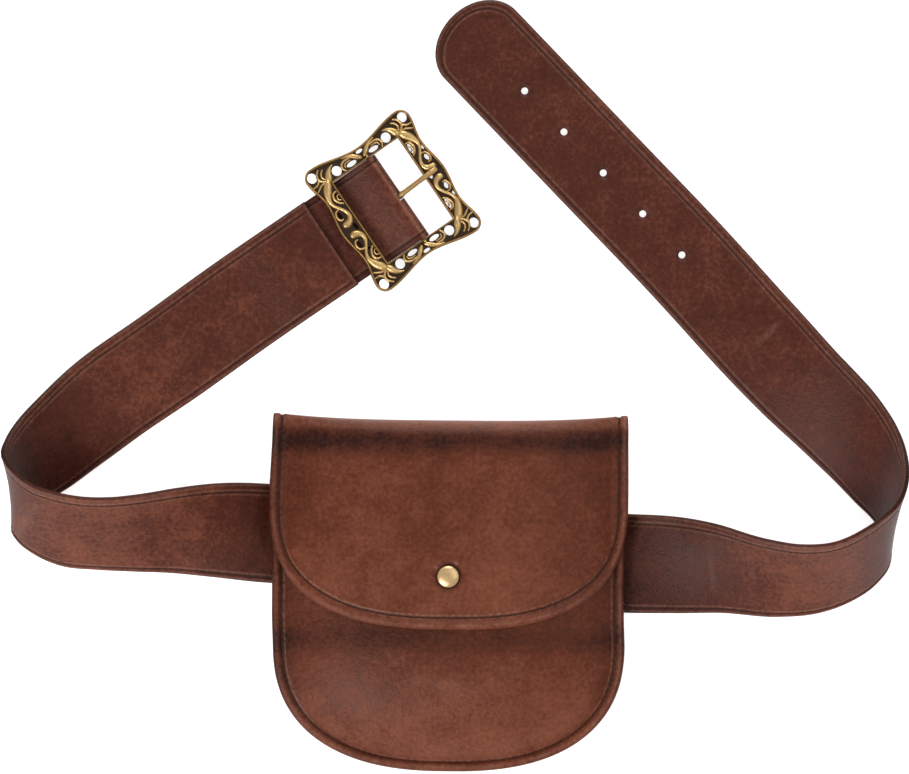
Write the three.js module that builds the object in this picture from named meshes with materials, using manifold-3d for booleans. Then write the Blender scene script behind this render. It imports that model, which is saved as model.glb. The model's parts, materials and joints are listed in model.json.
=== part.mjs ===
// A medieval style belt pouch that lies on a surface: a leather belt with a pierced brass buckle,
// threaded through the loop at the back of a flap pouch with a brass stud.
// Millimetres, +X to the right, +Y towards the belt's ends, +Z up from the surface.
import * as THREE from "three";
import { ConvexGeometry } from "three/addons/geometries/ConvexGeometry.js";
import { mergeVertices } from "three/addons/utils/BufferGeometryUtils.js";
import Module from "manifold-3d";

const wasm = await Module();
wasm.setup();

// How far the belt's middle line is laid out on the surface.
const LAY_WIDTH = 452;
const LAY_DEPTH = 385;

// General fit between neighbouring pieces.
const GAP = 0.3;

// Belt strap.
const STRAP_WIDTH = 49.5;
const STRAP_THICK = 2.4;
const TIP_LENGTH = 20;
const HOLE_COUNT = 5;
const HOLE_PITCH = 28.4;
const HOLE_RADIUS = 1.75;
const FIRST_HOLE = 52;

// Pouch body, flap and their leather.
const WALL = 2;
const POUCH_WIDTH = 176;
const POUCH_HEIGHT = 178;
const POUCH_BULGE = 19;
const MOUTH_BULGE = 0.8;
const POUCH_TURN = -0.5;
const RIM = 7;
const BODY_ROUND = 65.5;
const BODY_POWER = 2.45;
const MOUTH_DROP = 15;
const FLAP_WIDTH = 179.5;
const FLAP_LENGTH = 107;
const FLAP_ROUND = 64.5;
const FLAP_POWER = 2.6;
const FLAP_STAND = 1.15;
const FLAP_LIFT = 2.8;
const FLAP_TAPER = 0.9;
const FOLD_DEPTH = 12;
const FOLD_SAG = 2.4;
const PILLOW_POWER = 3.2;

// Belt loop behind the pouch.
const LOOP_THICK = 1.6;
const LOOP_LENGTH = 100;
const LOOP_PLAY = 6;
const LOOP_FLANGE = 12;

// Snap stud.
const STUD_RADIUS = 5.7;
const STUD_HEIGHT = 2.4;
const STUD_EDGE = 0.6;
const STUD_DROP = 80.4;
const POST_RADIUS = 1.5;
const SOCKET_RADIUS = 4.4;
const SOCKET_THICK = 1.5;

// Buckle tab, a leather strip folded round the bar.
const TAB_THICK = 1.2;
const TAB_REACH = 25;
const TAB_EASE = 2;
const STRAP_TO_BUCKLE = 37.4;
const TAB_SIDE = 0.75;
const TAB_TURN = 100;

// Cast buckle. The frame's middle is the middle of its window.
const BAR_RADIUS = 1.2;
const BAR_OFFSET = 1.8;
const PLATE_THICK = 2.2;
const CREST_HEIGHT = 1;
const CREST_FOOT = PLATE_THICK / 4;
const CREST_TOP = 0.6;
const WINDOW_LENGTH = 39.4;
const WINDOW_SIDE = 0.4;
const SIDE_BAND = 9.6;
const END_BAND = 7.6;
const OUTER_WIRE = 1.6;
const INNER_WIRE = 1.1;

// Its outline, measured from the window's middle.
const SIDE_MIDDLE = 31;
const SIDE_DIP = 28.9;
const SIDE_DIP_AT = 17;
const END_MIDDLE = 32;
const CORNER_X = 25.8;
const CORNER_Y = 30.9;
const CORNER_RADIUS = 5.4;
const CORNER_HOLE_X = 27;
const CORNER_HOLE_Y = 31.6;
const CORNER_HOLE_RADIUS = 2.4;

// Prong.
const RING_PLAY = 0.15;
const RING_WALL = 0.95;
const RING_WIDTH = 3;
const PRONG_WIDTH = 2.7;
const PRONG_THICK = 2.1;
const PRONG_LENGTH = 25.2;
const PRONG_ASKEW = 2.5;
const SLOT_PLAY = 0.5;
const SLOT_BACK = 6.8;

// Mesh fineness. Rows on a round end stop at ROUND_END degrees, just before its point.
const STRAP_STEP = 8;
const SHEET_COLUMNS = 18;
const EDGE_CROWD = 0.35;
const ROUND_END = 87;
const ROUND_SIDES = 24;
const PUNCH_SIDES = 10;

const TURN = Math.PI / 180;
const RING_RADIUS = BAR_RADIUS + RING_PLAY + RING_WALL;
const FOLD_RADIUS = RING_RADIUS + RING_PLAY;
const BAR_HEIGHT = FOLD_RADIUS + TAB_THICK;
const BAR_FROM_STRAP = STRAP_TO_BUCKLE + BAR_OFFSET;
const FRAME_REACH = CORNER_X + CORNER_RADIUS - BAR_OFFSET;
const FRAME_TILT = Math.asin((BAR_HEIGHT - PLATE_THICK / 2 - GAP / 3) / FRAME_REACH);
const LOOP_RISE = LOOP_THICK + GAP;
const BACK_HEIGHT = LOOP_RISE + STRAP_THICK + GAP;
const TAB_RISE = 2 * TAB_THICK + 2 * GAP;
const TAB_WIDTH = STRAP_WIDTH - 2 * TAB_SIDE;
const TAB_TAIL = -BAR_FROM_STRAP - TAB_REACH;
const SLOT_WIDTH = RING_WIDTH + 2 * SLOT_PLAY;
const WINDOW_WIDTH = TAB_WIDTH + 2 * WINDOW_SIDE;

// The belt from its buckle end to its tip. x and y place the middle of the section as shares of
// LAY_WIDTH and LAY_DEPTH, towards is the compass direction in degrees from the edge that lies
// on the surface to the raised edge, and climb is how far the section tilts up in degrees.
const BELT_ROWS = [
  { x: -0.136, y: 0.187, towards: 123.5, climb: 0 },
  { x: -0.238, y: 0.105, towards: 124.5, climb: 2 },
  { x: -0.315, y: 0.04, towards: 125.5, climb: 6 },
  { x: -0.387, y: -0.019, towards: 126.5, climb: 12 },
  { x: -0.425, y: -0.056, towards: 126, climb: 23 },
  { x: -0.46, y: -0.092, towards: 123, climb: 34 },
  { x: -0.4745, y: -0.107, towards: 119, climb: 43 },
  { x: -0.487, y: -0.125, towards: 109, climb: 51 },
  { x: -0.489, y: -0.137, towards: 97, climb: 53 },
  { x: -0.4865, y: -0.148, towards: 87, climb: 54 },
  { x: -0.476, y: -0.162, towards: 79, climb: 53 },
  { x: -0.453, y: -0.177, towards: 77, climb: 48 },
  { x: -0.425, y: -0.187, towards: 77, climb: 44 },
  { x: -0.388, y: -0.19, towards: 78, climb: 42 },
  { x: -0.353, y: -0.189, towards: 81, climb: 38 },
  { x: -0.308, y: -0.186, towards: 85, climb: 30 },
  { x: -0.261, y: -0.186, towards: 88, climb: 17 },
  { x: -0.206, y: -0.19, towards: 87, climb: 0 },
  { x: -0.008, y: -0.211, towards: 85, climb: 0 },
  { x: 0.191, y: -0.229, towards: 88, climb: 0 },
  { x: 0.245, y: -0.231, towards: 90, climb: 12 },
  { x: 0.289, y: -0.235, towards: 93, climb: 25 },
  { x: 0.35, y: -0.2475, towards: 99, climb: 37 },
  { x: 0.393, y: -0.249, towards: 102, climb: 45 },
  { x: 0.426, y: -0.241, towards: 102.5, climb: 51 },
  { x: 0.4605, y: -0.2185, towards: 100, climb: 55 },
  { x: 0.4755, y: -0.2015, towards: 96, climb: 58.5 },
  { x: 0.4855, y: -0.178, towards: 79, climb: 61 },
  { x: 0.483, y: -0.146, towards: 57, climb: 56 },
  { x: 0.47, y: -0.115, towards: 46, climb: 44 },
  { x: 0.454, y: -0.086, towards: 42.5, climb: 34 },
  { x: 0.433, y: -0.056, towards: 42, climb: 25 },
  { x: 0.379, y: 0.0085, towards: 43.5, climb: 14 },
  { x: 0.338, y: 0.06, towards: 44, climb: 5 },
  { x: 0.257, y: 0.1645, towards: 44, climb: 0 },
  { x: 0.151, y: 0.2945, towards: 44, climb: 0 },
  { x: -0.002, y: 0.482, towards: 44, climb: 0 },
];
const POUCH_ROW = 18;

// The pouch's top middle, as shares of the lay out.
const POUCH_X = -0.0038;
const POUCH_Y = -0.037;

// Openwork of one quarter of the buckle frame. Along a side band, along is a share of the band's
// half length from its middle, across a share of the band's width from the window outwards,
// and half_along and half_across are the gap's half sizes as shares of the band's width.
const SIDE_GAPS = [
  { along: 0, across: 0.3, half_along: 0.2, half_across: 0.1 },
  { along: 0.33, across: 0.69, half_along: 0.25, half_across: 0.15 },
  { along: 0.67, across: 0.25, half_along: 0.3, half_across: 0.11 },
];
const END_GAPS = [
  { along: 0, across: 0.74, half_along: 0.24, half_across: 0.11 },
  { along: 0.36, across: 0.3, half_along: 0.34, half_across: 0.13 },
  { along: 0.72, across: 0.48, half_along: 0.27, half_across: 0.3 },
];

// Raised scrolls of the same quarter, each from its thick foot to its end. thick is the crest's
// half width as a share of the band's width at each point.
const SIDE_SCROLLS = [
  [
    { along: 1.01, across: 0.29, thick: 0.2 },
    { along: 0.86, across: 0.62, thick: 0.2 },
    { along: 0.68, across: 0.72, thick: 0.1 },
    { along: 0.51, across: 0.55, thick: 0.1 },
    { along: 0.39, across: 0.34, thick: 0.105 },
    { along: 0.225, across: 0.29, thick: 0.105 },
    { along: 0.11, across: 0.45, thick: 0.12 },
    { along: 0.105, across: 0.72, thick: 0.14 },
  ],
];
const END_SCROLLS = [
  [
    { along: 1.03, across: 0.31, thick: 0.21 },
    { along: 0.94, across: 0.72, thick: 0.2 },
    { along: 0.8, across: 0.94, thick: 0.09 },
  ],
  [
    { along: 0.57, across: 0.16, thick: 0.09 },
    { along: 0.6, across: 0.5, thick: 0.09 },
    { along: 0.46, across: 0.74, thick: 0.09 },
    { along: 0.23, across: 0.66, thick: 0.15 },
    { along: 0.03, across: 0.3, thick: 0.12 },
  ],
  [
    { along: 1.4, across: 0.41, thick: 0.08 },
    { along: 1.27, across: 0.61, thick: 0.08 },
    { along: 1.16, across: 0.98, thick: 0.08 },
  ],
];

// The prong from its ring to its tip. reach is a share of its length, rise of the height at
// which it lies on the frame, and width and thick are shares of its own sizes.
const PRONG_ROWS = [
  { reach: 0.07, rise: -0.2, width: 1, thick: 1 },
  { reach: 0.36, rise: 0.55, width: 1, thick: 1 },
  { reach: 0.67, rise: 1, width: 1, thick: 1 },
  { reach: 0.85, rise: 1, width: 1.1, thick: 0.9 },
  { reach: 0.96, rise: 1, width: 1, thick: 0.6 },
  { reach: 1, rise: 1, width: 0.5, thick: 0.4 },
];

function smooth(t) {
  const clamped = Math.min(Math.max(t, 0), 1);
  return clamped * clamped * (3 - 2 * clamped);
}

// A closed mesh from its points and triangles.
function meshOf(points, faces) {
  const geometry = new THREE.BufferGeometry();
  geometry.setAttribute("position", new THREE.Float32BufferAttribute(points.flatMap((p) => p.toArray()), 3));
  geometry.setIndex(faces);
  return geometry;
}

function solidOf(geometry) {
  const bare = geometry.clone();
  bare.deleteAttribute("normal");
  bare.deleteAttribute("uv");
  const merged = mergeVertices(bare, 1e-4);
  return new wasm.Manifold(
    new wasm.Mesh({
      numProp: 3,
      vertProperties: new Float32Array(merged.attributes.position.array),
      triVerts: new Uint32Array(merged.index.array),
    }),
  );
}

function geometryOf(solid) {
  const mesh = solid.getMesh();
  const geometry = new THREE.BufferGeometry();
  geometry.setAttribute("position", new THREE.BufferAttribute(new Float32Array(mesh.vertProperties), 3));
  geometry.setIndex(new THREE.BufferAttribute(new Uint32Array(mesh.triVerts), 1));
  const faceted = geometry.toNonIndexed();
  faceted.computeVertexNormals();
  return faceted;
}

// A wall of even thickness round a grid of points on its middle surface.
function sheet(grid, thick) {
  const rows = grid.length;
  const columns = grid[0].length;
  const points = [];
  for (const side of [0.5, -0.5]) {
    for (let i = 0; i < rows; i += 1) {
      for (let j = 0; j < columns; j += 1) {
        const along = grid[Math.min(i + 1, rows - 1)][j].clone().sub(grid[Math.max(i - 1, 0)][j]);
        const across = grid[i][Math.min(j + 1, columns - 1)].clone().sub(grid[i][Math.max(j - 1, 0)]);
        const normal = along.cross(across).normalize();
        points.push(grid[i][j].clone().addScaledVector(normal, side * thick));
      }
    }
  }
  const back = rows * columns;
  const faces = [];
  const quad = (a, b, c, d) => faces.push(a, b, c, a, c, d);
  for (let i = 0; i + 1 < rows; i += 1) {
    for (let j = 0; j + 1 < columns; j += 1) {
      const a = i * columns + j;
      quad(a, a + columns, a + columns + 1, a + 1);
      quad(back + a, back + a + 1, back + a + columns + 1, back + a + columns);
    }
    const left = i * columns;
    const right = left + columns - 1;
    quad(left, back + left, back + left + columns, left + columns);
    quad(right, right + columns, back + right + columns, back + right);
  }
  for (let j = 0; j + 1 < columns; j += 1) {
    const last = (rows - 1) * columns + j;
    quad(j, j + 1, back + j + 1, back + j);
    quad(last, back + last, back + last + 1, last + 1);
  }
  return meshOf(points, faces);
}

// A flat outline extruded along +Z.
function prism(outline, height, holes = []) {
  const shape = new THREE.Shape(outline);
  shape.holes = holes.map((hole) => new THREE.Path(hole));
  return new THREE.ExtrudeGeometry(shape, { depth: height, bevelEnabled: false, curveSegments: 1 });
}

// A profile in the XZ plane extruded along Y, centred on it.
function barOfProfile(profile, width) {
  return prism(profile, width).rotateX(Math.PI / 2).translate(0, width / 2, 0);
}

function arc(cx, cy, radius, from, to, steps) {
  return Array.from({ length: steps + 1 }, (_, i) => {
    const angle = (from + ((to - from) * i) / steps) * TURN;
    return new THREE.Vector2(cx + radius * Math.cos(angle), cy + radius * Math.sin(angle));
  });
}

// The belt's course

const beltKnots = [0];
for (let i = 1; i < BELT_ROWS.length; i += 1) {
  const dx = (BELT_ROWS[i].x - BELT_ROWS[i - 1].x) * LAY_WIDTH;
  const dy = (BELT_ROWS[i].y - BELT_ROWS[i - 1].y) * LAY_DEPTH;
  beltKnots.push(beltKnots[i - 1] + Math.hypot(dx, dy));
}
const BELT_LENGTH = beltKnots[beltKnots.length - 1];

// A smooth curve through one column of the belt's rows, at a distance from the buckle end.
function beltColumn(name, distance) {
  const last = BELT_ROWS.length - 1;
  const rate = (i) => (BELT_ROWS[i + 1][name] - BELT_ROWS[i][name]) / (beltKnots[i + 1] - beltKnots[i]);
  const slope = (i) => {
    if (i === 0) return rate(0);
    if (i === last) return rate(last - 1);
    const before = beltKnots[i] - beltKnots[i - 1];
    const after = beltKnots[i + 1] - beltKnots[i];
    return (rate(i - 1) * after + rate(i) * before) / (before + after);
  };
  let i = 0;
  while (i < last - 1 && distance > beltKnots[i + 1]) i += 1;
  const span = beltKnots[i + 1] - beltKnots[i];
  const t = (distance - beltKnots[i]) / span;
  const keep = (1 + 2 * t) * (1 - t) * (1 - t);
  const leave = t * (1 - t) * (1 - t) * span;
  const arrive = t * t * (t - 1) * span;
  const between = BELT_ROWS[i][name] * keep + BELT_ROWS[i + 1][name] * (1 - keep);
  return between + slope(i) * leave + slope(i + 1) * arrive;
}

// How far the belt is lifted by the pouch's loop and by the buckle tab under it.
function beltRise(distance) {
  const toLoop = Math.abs(distance - beltKnots[POUCH_ROW]) - LOOP_LENGTH / 2;
  const onLoop = LOOP_RISE * (1 - smooth((toLoop - WALL) / TAB_REACH));
  const onTab = TAB_RISE * (1 - smooth((distance - TAB_REACH - WALL) / TAB_REACH));
  return onLoop + onTab;
}

// The point on the belt's middle surface, with share from -0.5 at the low edge to 0.5.
function beltPoint(distance, share) {
  const towards = beltColumn("towards", distance) * TURN;
  const climb = Math.max(beltColumn("climb", distance), 0) * TURN;
  const flat = Math.cos(climb) * STRAP_WIDTH * share;
  return new THREE.Vector3(
    beltColumn("x", distance) * LAY_WIDTH + Math.cos(towards) * flat,
    beltColumn("y", distance) * LAY_DEPTH + Math.sin(towards) * flat,
    STRAP_THICK / 2 + beltRise(distance) + Math.sin(climb) * STRAP_WIDTH * (share + 0.5),
  );
}

function beltStrap() {
  const straight = BELT_LENGTH - TIP_LENGTH;
  const steps = Math.round(straight / STRAP_STEP);
  const grid = [];
  for (let i = 0; i <= steps; i += 1) {
    const distance = (straight * i) / steps;
    grid.push([beltPoint(distance, -0.5), beltPoint(distance, 0.5)]);
  }
  const tipSteps = 8;
  for (let i = 1; i <= tipSteps; i += 1) {
    const angle = (ROUND_END * TURN * i) / tipSteps;
    const distance = straight + TIP_LENGTH * Math.sin(angle);
    const half = 0.5 * Math.cos(angle);
    grid.push([beltPoint(distance, -half), beltPoint(distance, half)]);
  }
  let strap = solidOf(sheet(grid, STRAP_THICK));
  for (let i = 0; i < HOLE_COUNT; i += 1) {
    const middle = beltPoint(BELT_LENGTH - FIRST_HOLE - i * HOLE_PITCH, 0);
    const punch = new THREE.CylinderGeometry(HOLE_RADIUS, HOLE_RADIUS, 3 * STRAP_THICK, PUNCH_SIDES);
    punch.rotateX(Math.PI / 2).translate(middle.x, middle.y, middle.z);
    strap = strap.subtract(solidOf(punch));
  }
  return geometryOf(strap);
}

// Pouch. Its own x runs across, its y down is negative from the fold, z stays the height.

// 0 on the pouch's middle line to 1 on its outline.
function bodyShare(x, y) {
  const below = Math.max(BODY_ROUND - POUCH_HEIGHT - y, 0) / BODY_ROUND;
  const beside = Math.abs(x) / (POUCH_WIDTH / 2);
  return Math.pow(Math.pow(beside, BODY_POWER) + Math.pow(below, BODY_POWER), 1 / BODY_POWER);
}

function bodyHalf(y) {
  const below = Math.max(BODY_ROUND - POUCH_HEIGHT - y, 0) / BODY_ROUND;
  return (POUCH_WIDTH / 2) * Math.pow(Math.max(1 - Math.pow(below, BODY_POWER), 0), 1 / BODY_POWER);
}

function flapHalf(y) {
  const below = Math.max(FLAP_ROUND - FLAP_LENGTH - y, 0) / FLAP_ROUND;
  const flare = FLAP_TAPER * (1 - smooth(-y / (FLAP_LENGTH - FLAP_ROUND)));
  return (FLAP_WIDTH / 2 - flare) * Math.pow(Math.max(1 - Math.pow(below, FLAP_POWER), 0), 1 / FLAP_POWER);
}

// The pillow shape of the front, 0 at the rim and 1 in the middle.
function pillow(x, y) {
  const inner = 1 - RIM / (POUCH_WIDTH / 2);
  return 1 - Math.pow(Math.min(bodyShare(x, y) / inner, 1), PILLOW_POWER);
}

// How far the pouch's lower end sinks from the belt's level to the surface.
function settle(y) {
  return (BACK_HEIGHT - GAP) * smooth((BODY_ROUND - POUCH_HEIGHT - y) / BODY_ROUND);
}

// Middle surface heights of the three leather walls.
function backLevel(y) {
  return BACK_HEIGHT + WALL / 2 - settle(y);
}

function frontLevel(x, y) {
  const full = MOUTH_BULGE + (1 - MOUTH_BULGE) * smooth(-y / (POUCH_HEIGHT - BODY_ROUND));
  return backLevel(y) + WALL + GAP + POUCH_BULGE * full * pillow(x, y);
}

function flapLevel(x, y) {
  return frontLevel(x, y) + WALL * FLAP_STAND + GAP + FLAP_LIFT * smooth(-y / STUD_DROP);
}

// Rows crowd together towards the round end of a panel.
function panelRow(from, to, i, steps) {
  return from + (to - from) * Math.sin((i / steps) * ROUND_END * TURN);
}

// One row of a panel's points, with its columns crowded together towards both edges.
function sheetRow(pointAt) {
  return Array.from({ length: SHEET_COLUMNS + 1 }, (_, j) => {
    const even = (2 * j) / SHEET_COLUMNS - 1;
    return pointAt(Math.sin((even * Math.PI) / 2) * EDGE_CROWD + even * (1 - EDGE_CROWD));
  });
}

function pouchFront() {
  const steps = 16;
  const grid = [];
  for (let i = 0; i <= steps; i += 1) {
    const y = panelRow(-MOUTH_DROP, -POUCH_HEIGHT, i, steps);
    const half = bodyHalf(y);
    grid.push(sheetRow((share) => new THREE.Vector3(half * share, y, frontLevel(half * share, y))));
  }
  return sheet(grid, WALL);
}

// The back panel goes on over the top fold and comes down in front as the flap.
function backAndFlap() {
  const backSteps = 12;
  const foldSteps = 8;
  const flapSteps = 13;
  const grid = [];
  for (let i = backSteps; i >= 0; i -= 1) {
    const y = panelRow(-FOLD_DEPTH, -POUCH_HEIGHT, i, backSteps);
    const half = bodyHalf(y);
    grid.push(sheetRow((share) => new THREE.Vector3(half * share, y, backLevel(y))));
  }
  for (let i = 1; i < foldSteps; i += 1) {
    const angle = (i / foldSteps - 0.5) * Math.PI;
    grid.push(
      sheetRow((share) => {
        const x = (POUCH_WIDTH / 2) * share;
        const low = backLevel(-FOLD_DEPTH);
        const high = flapLevel(x, -FOLD_DEPTH);
        const reach = FOLD_DEPTH - WALL / 2 - FOLD_SAG * pillow(x, -FOLD_DEPTH);
        const y = -FOLD_DEPTH + reach * Math.cos(angle);
        return new THREE.Vector3(x, y, (low + high) / 2 + ((high - low) / 2) * Math.sin(angle));
      }),
    );
  }
  for (let i = 0; i <= flapSteps; i += 1) {
    const y = panelRow(-FOLD_DEPTH, -FLAP_LENGTH, i, flapSteps);
    const half = flapHalf(y);
    grid.push(sheetRow((share) => new THREE.Vector3(half * share, y, flapLevel(half * share, y))));
  }
  const postHole = new THREE.CylinderGeometry(POST_RADIUS + GAP, POST_RADIUS + GAP, WALL * 4, PUNCH_SIDES);
  postHole.rotateX(Math.PI / 2).translate(0, -STUD_DROP, flapLevel(0, -STUD_DROP));
  return geometryOf(solidOf(sheet(grid, WALL)).subtract(solidOf(postHole)));
}

// A domed cap above the flap, its post through the leather and the socket under it.
function snapStud() {
  const top = WALL / 2 + GAP;
  const dome = STUD_HEIGHT - STUD_EDGE;
  const cap = arc(0, 0, 1, 0, 90, 6).map(
    (p) => new THREE.Vector2(p.x * STUD_RADIUS, top + STUD_EDGE + dome * p.y),
  );
  const profile = [
    new THREE.Vector2(0, -top - SOCKET_THICK),
    new THREE.Vector2(SOCKET_RADIUS, -top - SOCKET_THICK),
    new THREE.Vector2(SOCKET_RADIUS, -top),
    new THREE.Vector2(POST_RADIUS, -top),
    new THREE.Vector2(POST_RADIUS, top),
    new THREE.Vector2(STUD_RADIUS, top),
    ...cap,
  ];
  profile[profile.length - 1].x = 0;
  const stud = new THREE.LatheGeometry(profile, ROUND_SIDES).rotateX(Math.PI / 2);
  return stud.translate(0, -STUD_DROP, flapLevel(0, -STUD_DROP));
}

// One plain strip that holds the belt against the back panel.
function beltLoop() {
  const half = STRAP_WIDTH / 2 + LOOP_PLAY;
  const top = BACK_HEIGHT - GAP;
  const outer = half + LOOP_THICK;
  const profile = [
    [half + LOOP_FLANGE, top],
    [half, top],
    [half, LOOP_THICK],
    [-half, LOOP_THICK],
    [-half, top],
    [-half - LOOP_FLANGE, top],
    [-half - LOOP_FLANGE, top - LOOP_THICK],
    [-outer, top - LOOP_THICK],
    [-outer, 0],
    [outer, 0],
    [outer, top - LOOP_THICK],
    [half + LOOP_FLANGE, top - LOOP_THICK],
  ].map(([across, height]) => new THREE.Vector2(across, height));
  return barOfProfile(profile, LOOP_LENGTH).rotateZ(Math.PI / 2);
}

// Buckle. Its own x points away from the strap's end, its y along the bar, with the bar at 0.

// The tab is one folded strip of leather. Four solids with small gaps make it up, two beside the slot where it goes
// round the bar and one for each leaf, so that its collision stays open round the prong.
function tabFold(side) {
  const width = (TAB_WIDTH - SLOT_WIDTH) / 2;
  const profile = [...arc(0, 0, BAR_HEIGHT, -90, TAB_TURN, 14), ...arc(0, 0, FOLD_RADIUS, TAB_TURN, -90, 14)];
  return barOfProfile(profile, width).translate(0, (side * (SLOT_WIDTH + width)) / 2, 0);
}

function tabUpper() {
  const ease = TAB_EASE - BAR_OFFSET - WINDOW_LENGTH / 2;
  const low = GAP + TAB_THICK - BAR_HEIGHT;
  const top = low + TAB_THICK;
  const near = (radius, height) =>
    new THREE.Vector2(radius * Math.cos(TAB_TURN * TURN), radius * Math.sin(TAB_TURN * TURN)).lerp(
      new THREE.Vector2(ease, height),
      -GAP / ease,
    );
  const profile = [
    near(BAR_HEIGHT, top),
    new THREE.Vector2(ease, top),
    new THREE.Vector2(TAB_TAIL, top),
    new THREE.Vector2(TAB_TAIL, low),
    new THREE.Vector2(ease, low),
    near(FOLD_RADIUS, low),
  ];
  return barOfProfile(profile, TAB_WIDTH);
}

function tabLower() {
  const slab = (from, to, width) =>
    solidOf(
      barOfProfile(
        [
          new THREE.Vector2(from, -BAR_HEIGHT),
          new THREE.Vector2(to, -BAR_HEIGHT),
          new THREE.Vector2(to, TAB_THICK - BAR_HEIGHT),
          new THREE.Vector2(from, TAB_THICK - BAR_HEIGHT),
        ],
        width,
      ),
    );
  const slot = slab(-SLOT_BACK, GAP, SLOT_WIDTH).scale([1, 1, 2]).translate([0, 0, BAR_HEIGHT - TAB_THICK / 2]);
  return geometryOf(slab(TAB_TAIL, -GAP, TAB_WIDTH).subtract(slot));
}

// A point on the frame's plan, on a side band beyond the window or on a band at its end.
function bandPoint(onSide, along, across) {
  const halfLength = WINDOW_LENGTH / 2;
  const halfWidth = WINDOW_WIDTH / 2;
  if (onSide) return new THREE.Vector2(halfLength + across * SIDE_BAND, along * halfWidth);
  return new THREE.Vector2(along * halfLength, halfWidth + across * END_BAND);
}

// How far a long side stands out at a distance y from its middle.
function sideReach(y) {
  if (y < SIDE_DIP_AT) return SIDE_MIDDLE - (SIDE_MIDDLE - SIDE_DIP) * smooth(y / SIDE_DIP_AT);
  const rise = CORNER_X + CORNER_RADIUS - SIDE_DIP;
  return SIDE_DIP + rise * smooth((y - SIDE_DIP_AT) / (CORNER_Y - SIDE_DIP_AT));
}

// The outline of one quarter, from the long side's middle to the short side's middle.
function quarterOutline() {
  const steps = 7;
  const points = [];
  for (let i = 0; i < steps; i += 1) {
    const y = (CORNER_Y * i) / steps;
    points.push(new THREE.Vector2(sideReach(y), y));
  }
  points.push(...arc(CORNER_X, CORNER_Y, CORNER_RADIUS, 0, 90, 6));
  for (let i = steps - 1; i >= 0; i -= 1) {
    const dip = (CORNER_Y + CORNER_RADIUS - END_MIDDLE) * smooth(i / steps);
    points.push(new THREE.Vector2((CORNER_X * i) / steps, END_MIDDLE + dip));
  }
  return points;
}

function mirrored(points, flipX, flipY) {
  const flipped = points.map((p) => new THREE.Vector2(flipX ? -p.x : p.x, flipY ? -p.y : p.y));
  return flipX === flipY ? flipped : flipped.reverse();
}

const QUARTERS = [
  [false, false],
  [true, false],
  [true, true],
  [false, true],
];

function frameGaps() {
  const gaps = [];
  const oval = (onSide, gap, band) => {
    const middle = bandPoint(onSide, gap.along, gap.across);
    const halfX = (onSide ? gap.half_across : gap.half_along) * band;
    const halfY = (onSide ? gap.half_along : gap.half_across) * band;
    const place = (p) => new THREE.Vector2(middle.x + halfX * p.x, middle.y + halfY * p.y);
    return arc(0, 0, 1, 22.5, 337.5, 7).map(place);
  };
  const cornerHole = arc(CORNER_HOLE_X, CORNER_HOLE_Y, CORNER_HOLE_RADIUS, 22.5, 337.5, 7);
  for (const [flipX, flipY] of QUARTERS) {
    for (const gap of SIDE_GAPS) {
      if (gap.along === 0 && flipY) continue;
      gaps.push(mirrored(oval(true, gap, SIDE_BAND), flipX, flipY));
    }
    for (const gap of END_GAPS) {
      if (gap.along === 0 && flipX) continue;
      gaps.push(mirrored(oval(false, gap, END_BAND), flipX, flipY));
    }
    gaps.push(mirrored(cornerHole, flipX, flipY));
  }
  return gaps;
}

// A counter-clockwise outline moved outwards by a distance, with mitred corners.
function offsetOutline(outline, distance) {
  const count = outline.length;
  return outline.map((p, i) => {
    const before = p.clone().sub(outline[(i + count - 1) % count]).normalize();
    const after = outline[(i + 1) % count].clone().sub(p).normalize();
    const along = before.add(after).normalize();
    const reach = distance / along.dot(after);
    return new THREE.Vector2(p.x + along.y * reach, p.y - along.x * reach);
  });
}

// A raised rim with sloping sides that follows an outline between two offsets from it.
function rim(outline, inner, outer) {
  const slope = ((outer - inner) * (1 - CREST_TOP)) / 2;
  const level = PLATE_THICK / 2;
  const rings = [
    { out: outer, z: level - CREST_FOOT },
    { out: outer - slope, z: level + CREST_HEIGHT },
    { out: inner + slope, z: level + CREST_HEIGHT },
    { out: inner, z: level - CREST_FOOT },
  ];
  const points = rings.flatMap(({ out, z }) =>
    offsetOutline(outline, out).map((p) => new THREE.Vector3(p.x, p.y, z)),
  );
  const count = outline.length;
  const faces = [];
  for (let k = 0; k < rings.length; k += 1) {
    const next = ((k + 1) % rings.length) * count;
    for (let i = 0; i < count; i += 1) {
      const j = (i + 1) % count;
      faces.push(k * count + i, k * count + j, next + j, k * count + i, next + j, next + i);
    }
  }
  return solidOf(meshOf(points, faces));
}

// A low boss with sloping sides, as the points of its foot and its top.
function bossPoints(point) {
  const level = PLATE_THICK / 2;
  const ring = (radius, z, turn, sides) =>
    Array.from({ length: sides }, (_, i) => {
      const angle = ((i + turn) / sides) * 2 * Math.PI;
      return new THREE.Vector3(point.x + radius * Math.cos(angle), point.y + radius * Math.sin(angle), z);
    });
  const foot = ring(point.half, level - CREST_FOOT, 0, 6);
  return [...foot, ...ring(point.half * CREST_TOP, level + CREST_HEIGHT, 0.5, 5)];
}

// A raised crest that follows a curve on the plate, each stretch the hull of two bosses.
function crest(points) {
  const stretches = [];
  for (let i = 0; i + 1 < points.length; i += 1) {
    stretches.push(solidOf(new ConvexGeometry([...bossPoints(points[i]), ...bossPoints(points[i + 1])])));
  }
  return wasm.Manifold.union(stretches);
}

function scrollPoints(onSide, rows) {
  const band = onSide ? SIDE_BAND : END_BAND;
  const curve = new THREE.CatmullRomCurve3(
    rows.map((row) => {
      const place = bandPoint(onSide, row.along, row.across);
      return new THREE.Vector3(place.x, place.y, row.thick * band);
    }),
    false,
    "centripetal",
  );
  return curve.getPoints((rows.length - 1) * 2).map((p) => ({ x: p.x, y: p.y, half: p.z }));
}

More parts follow.
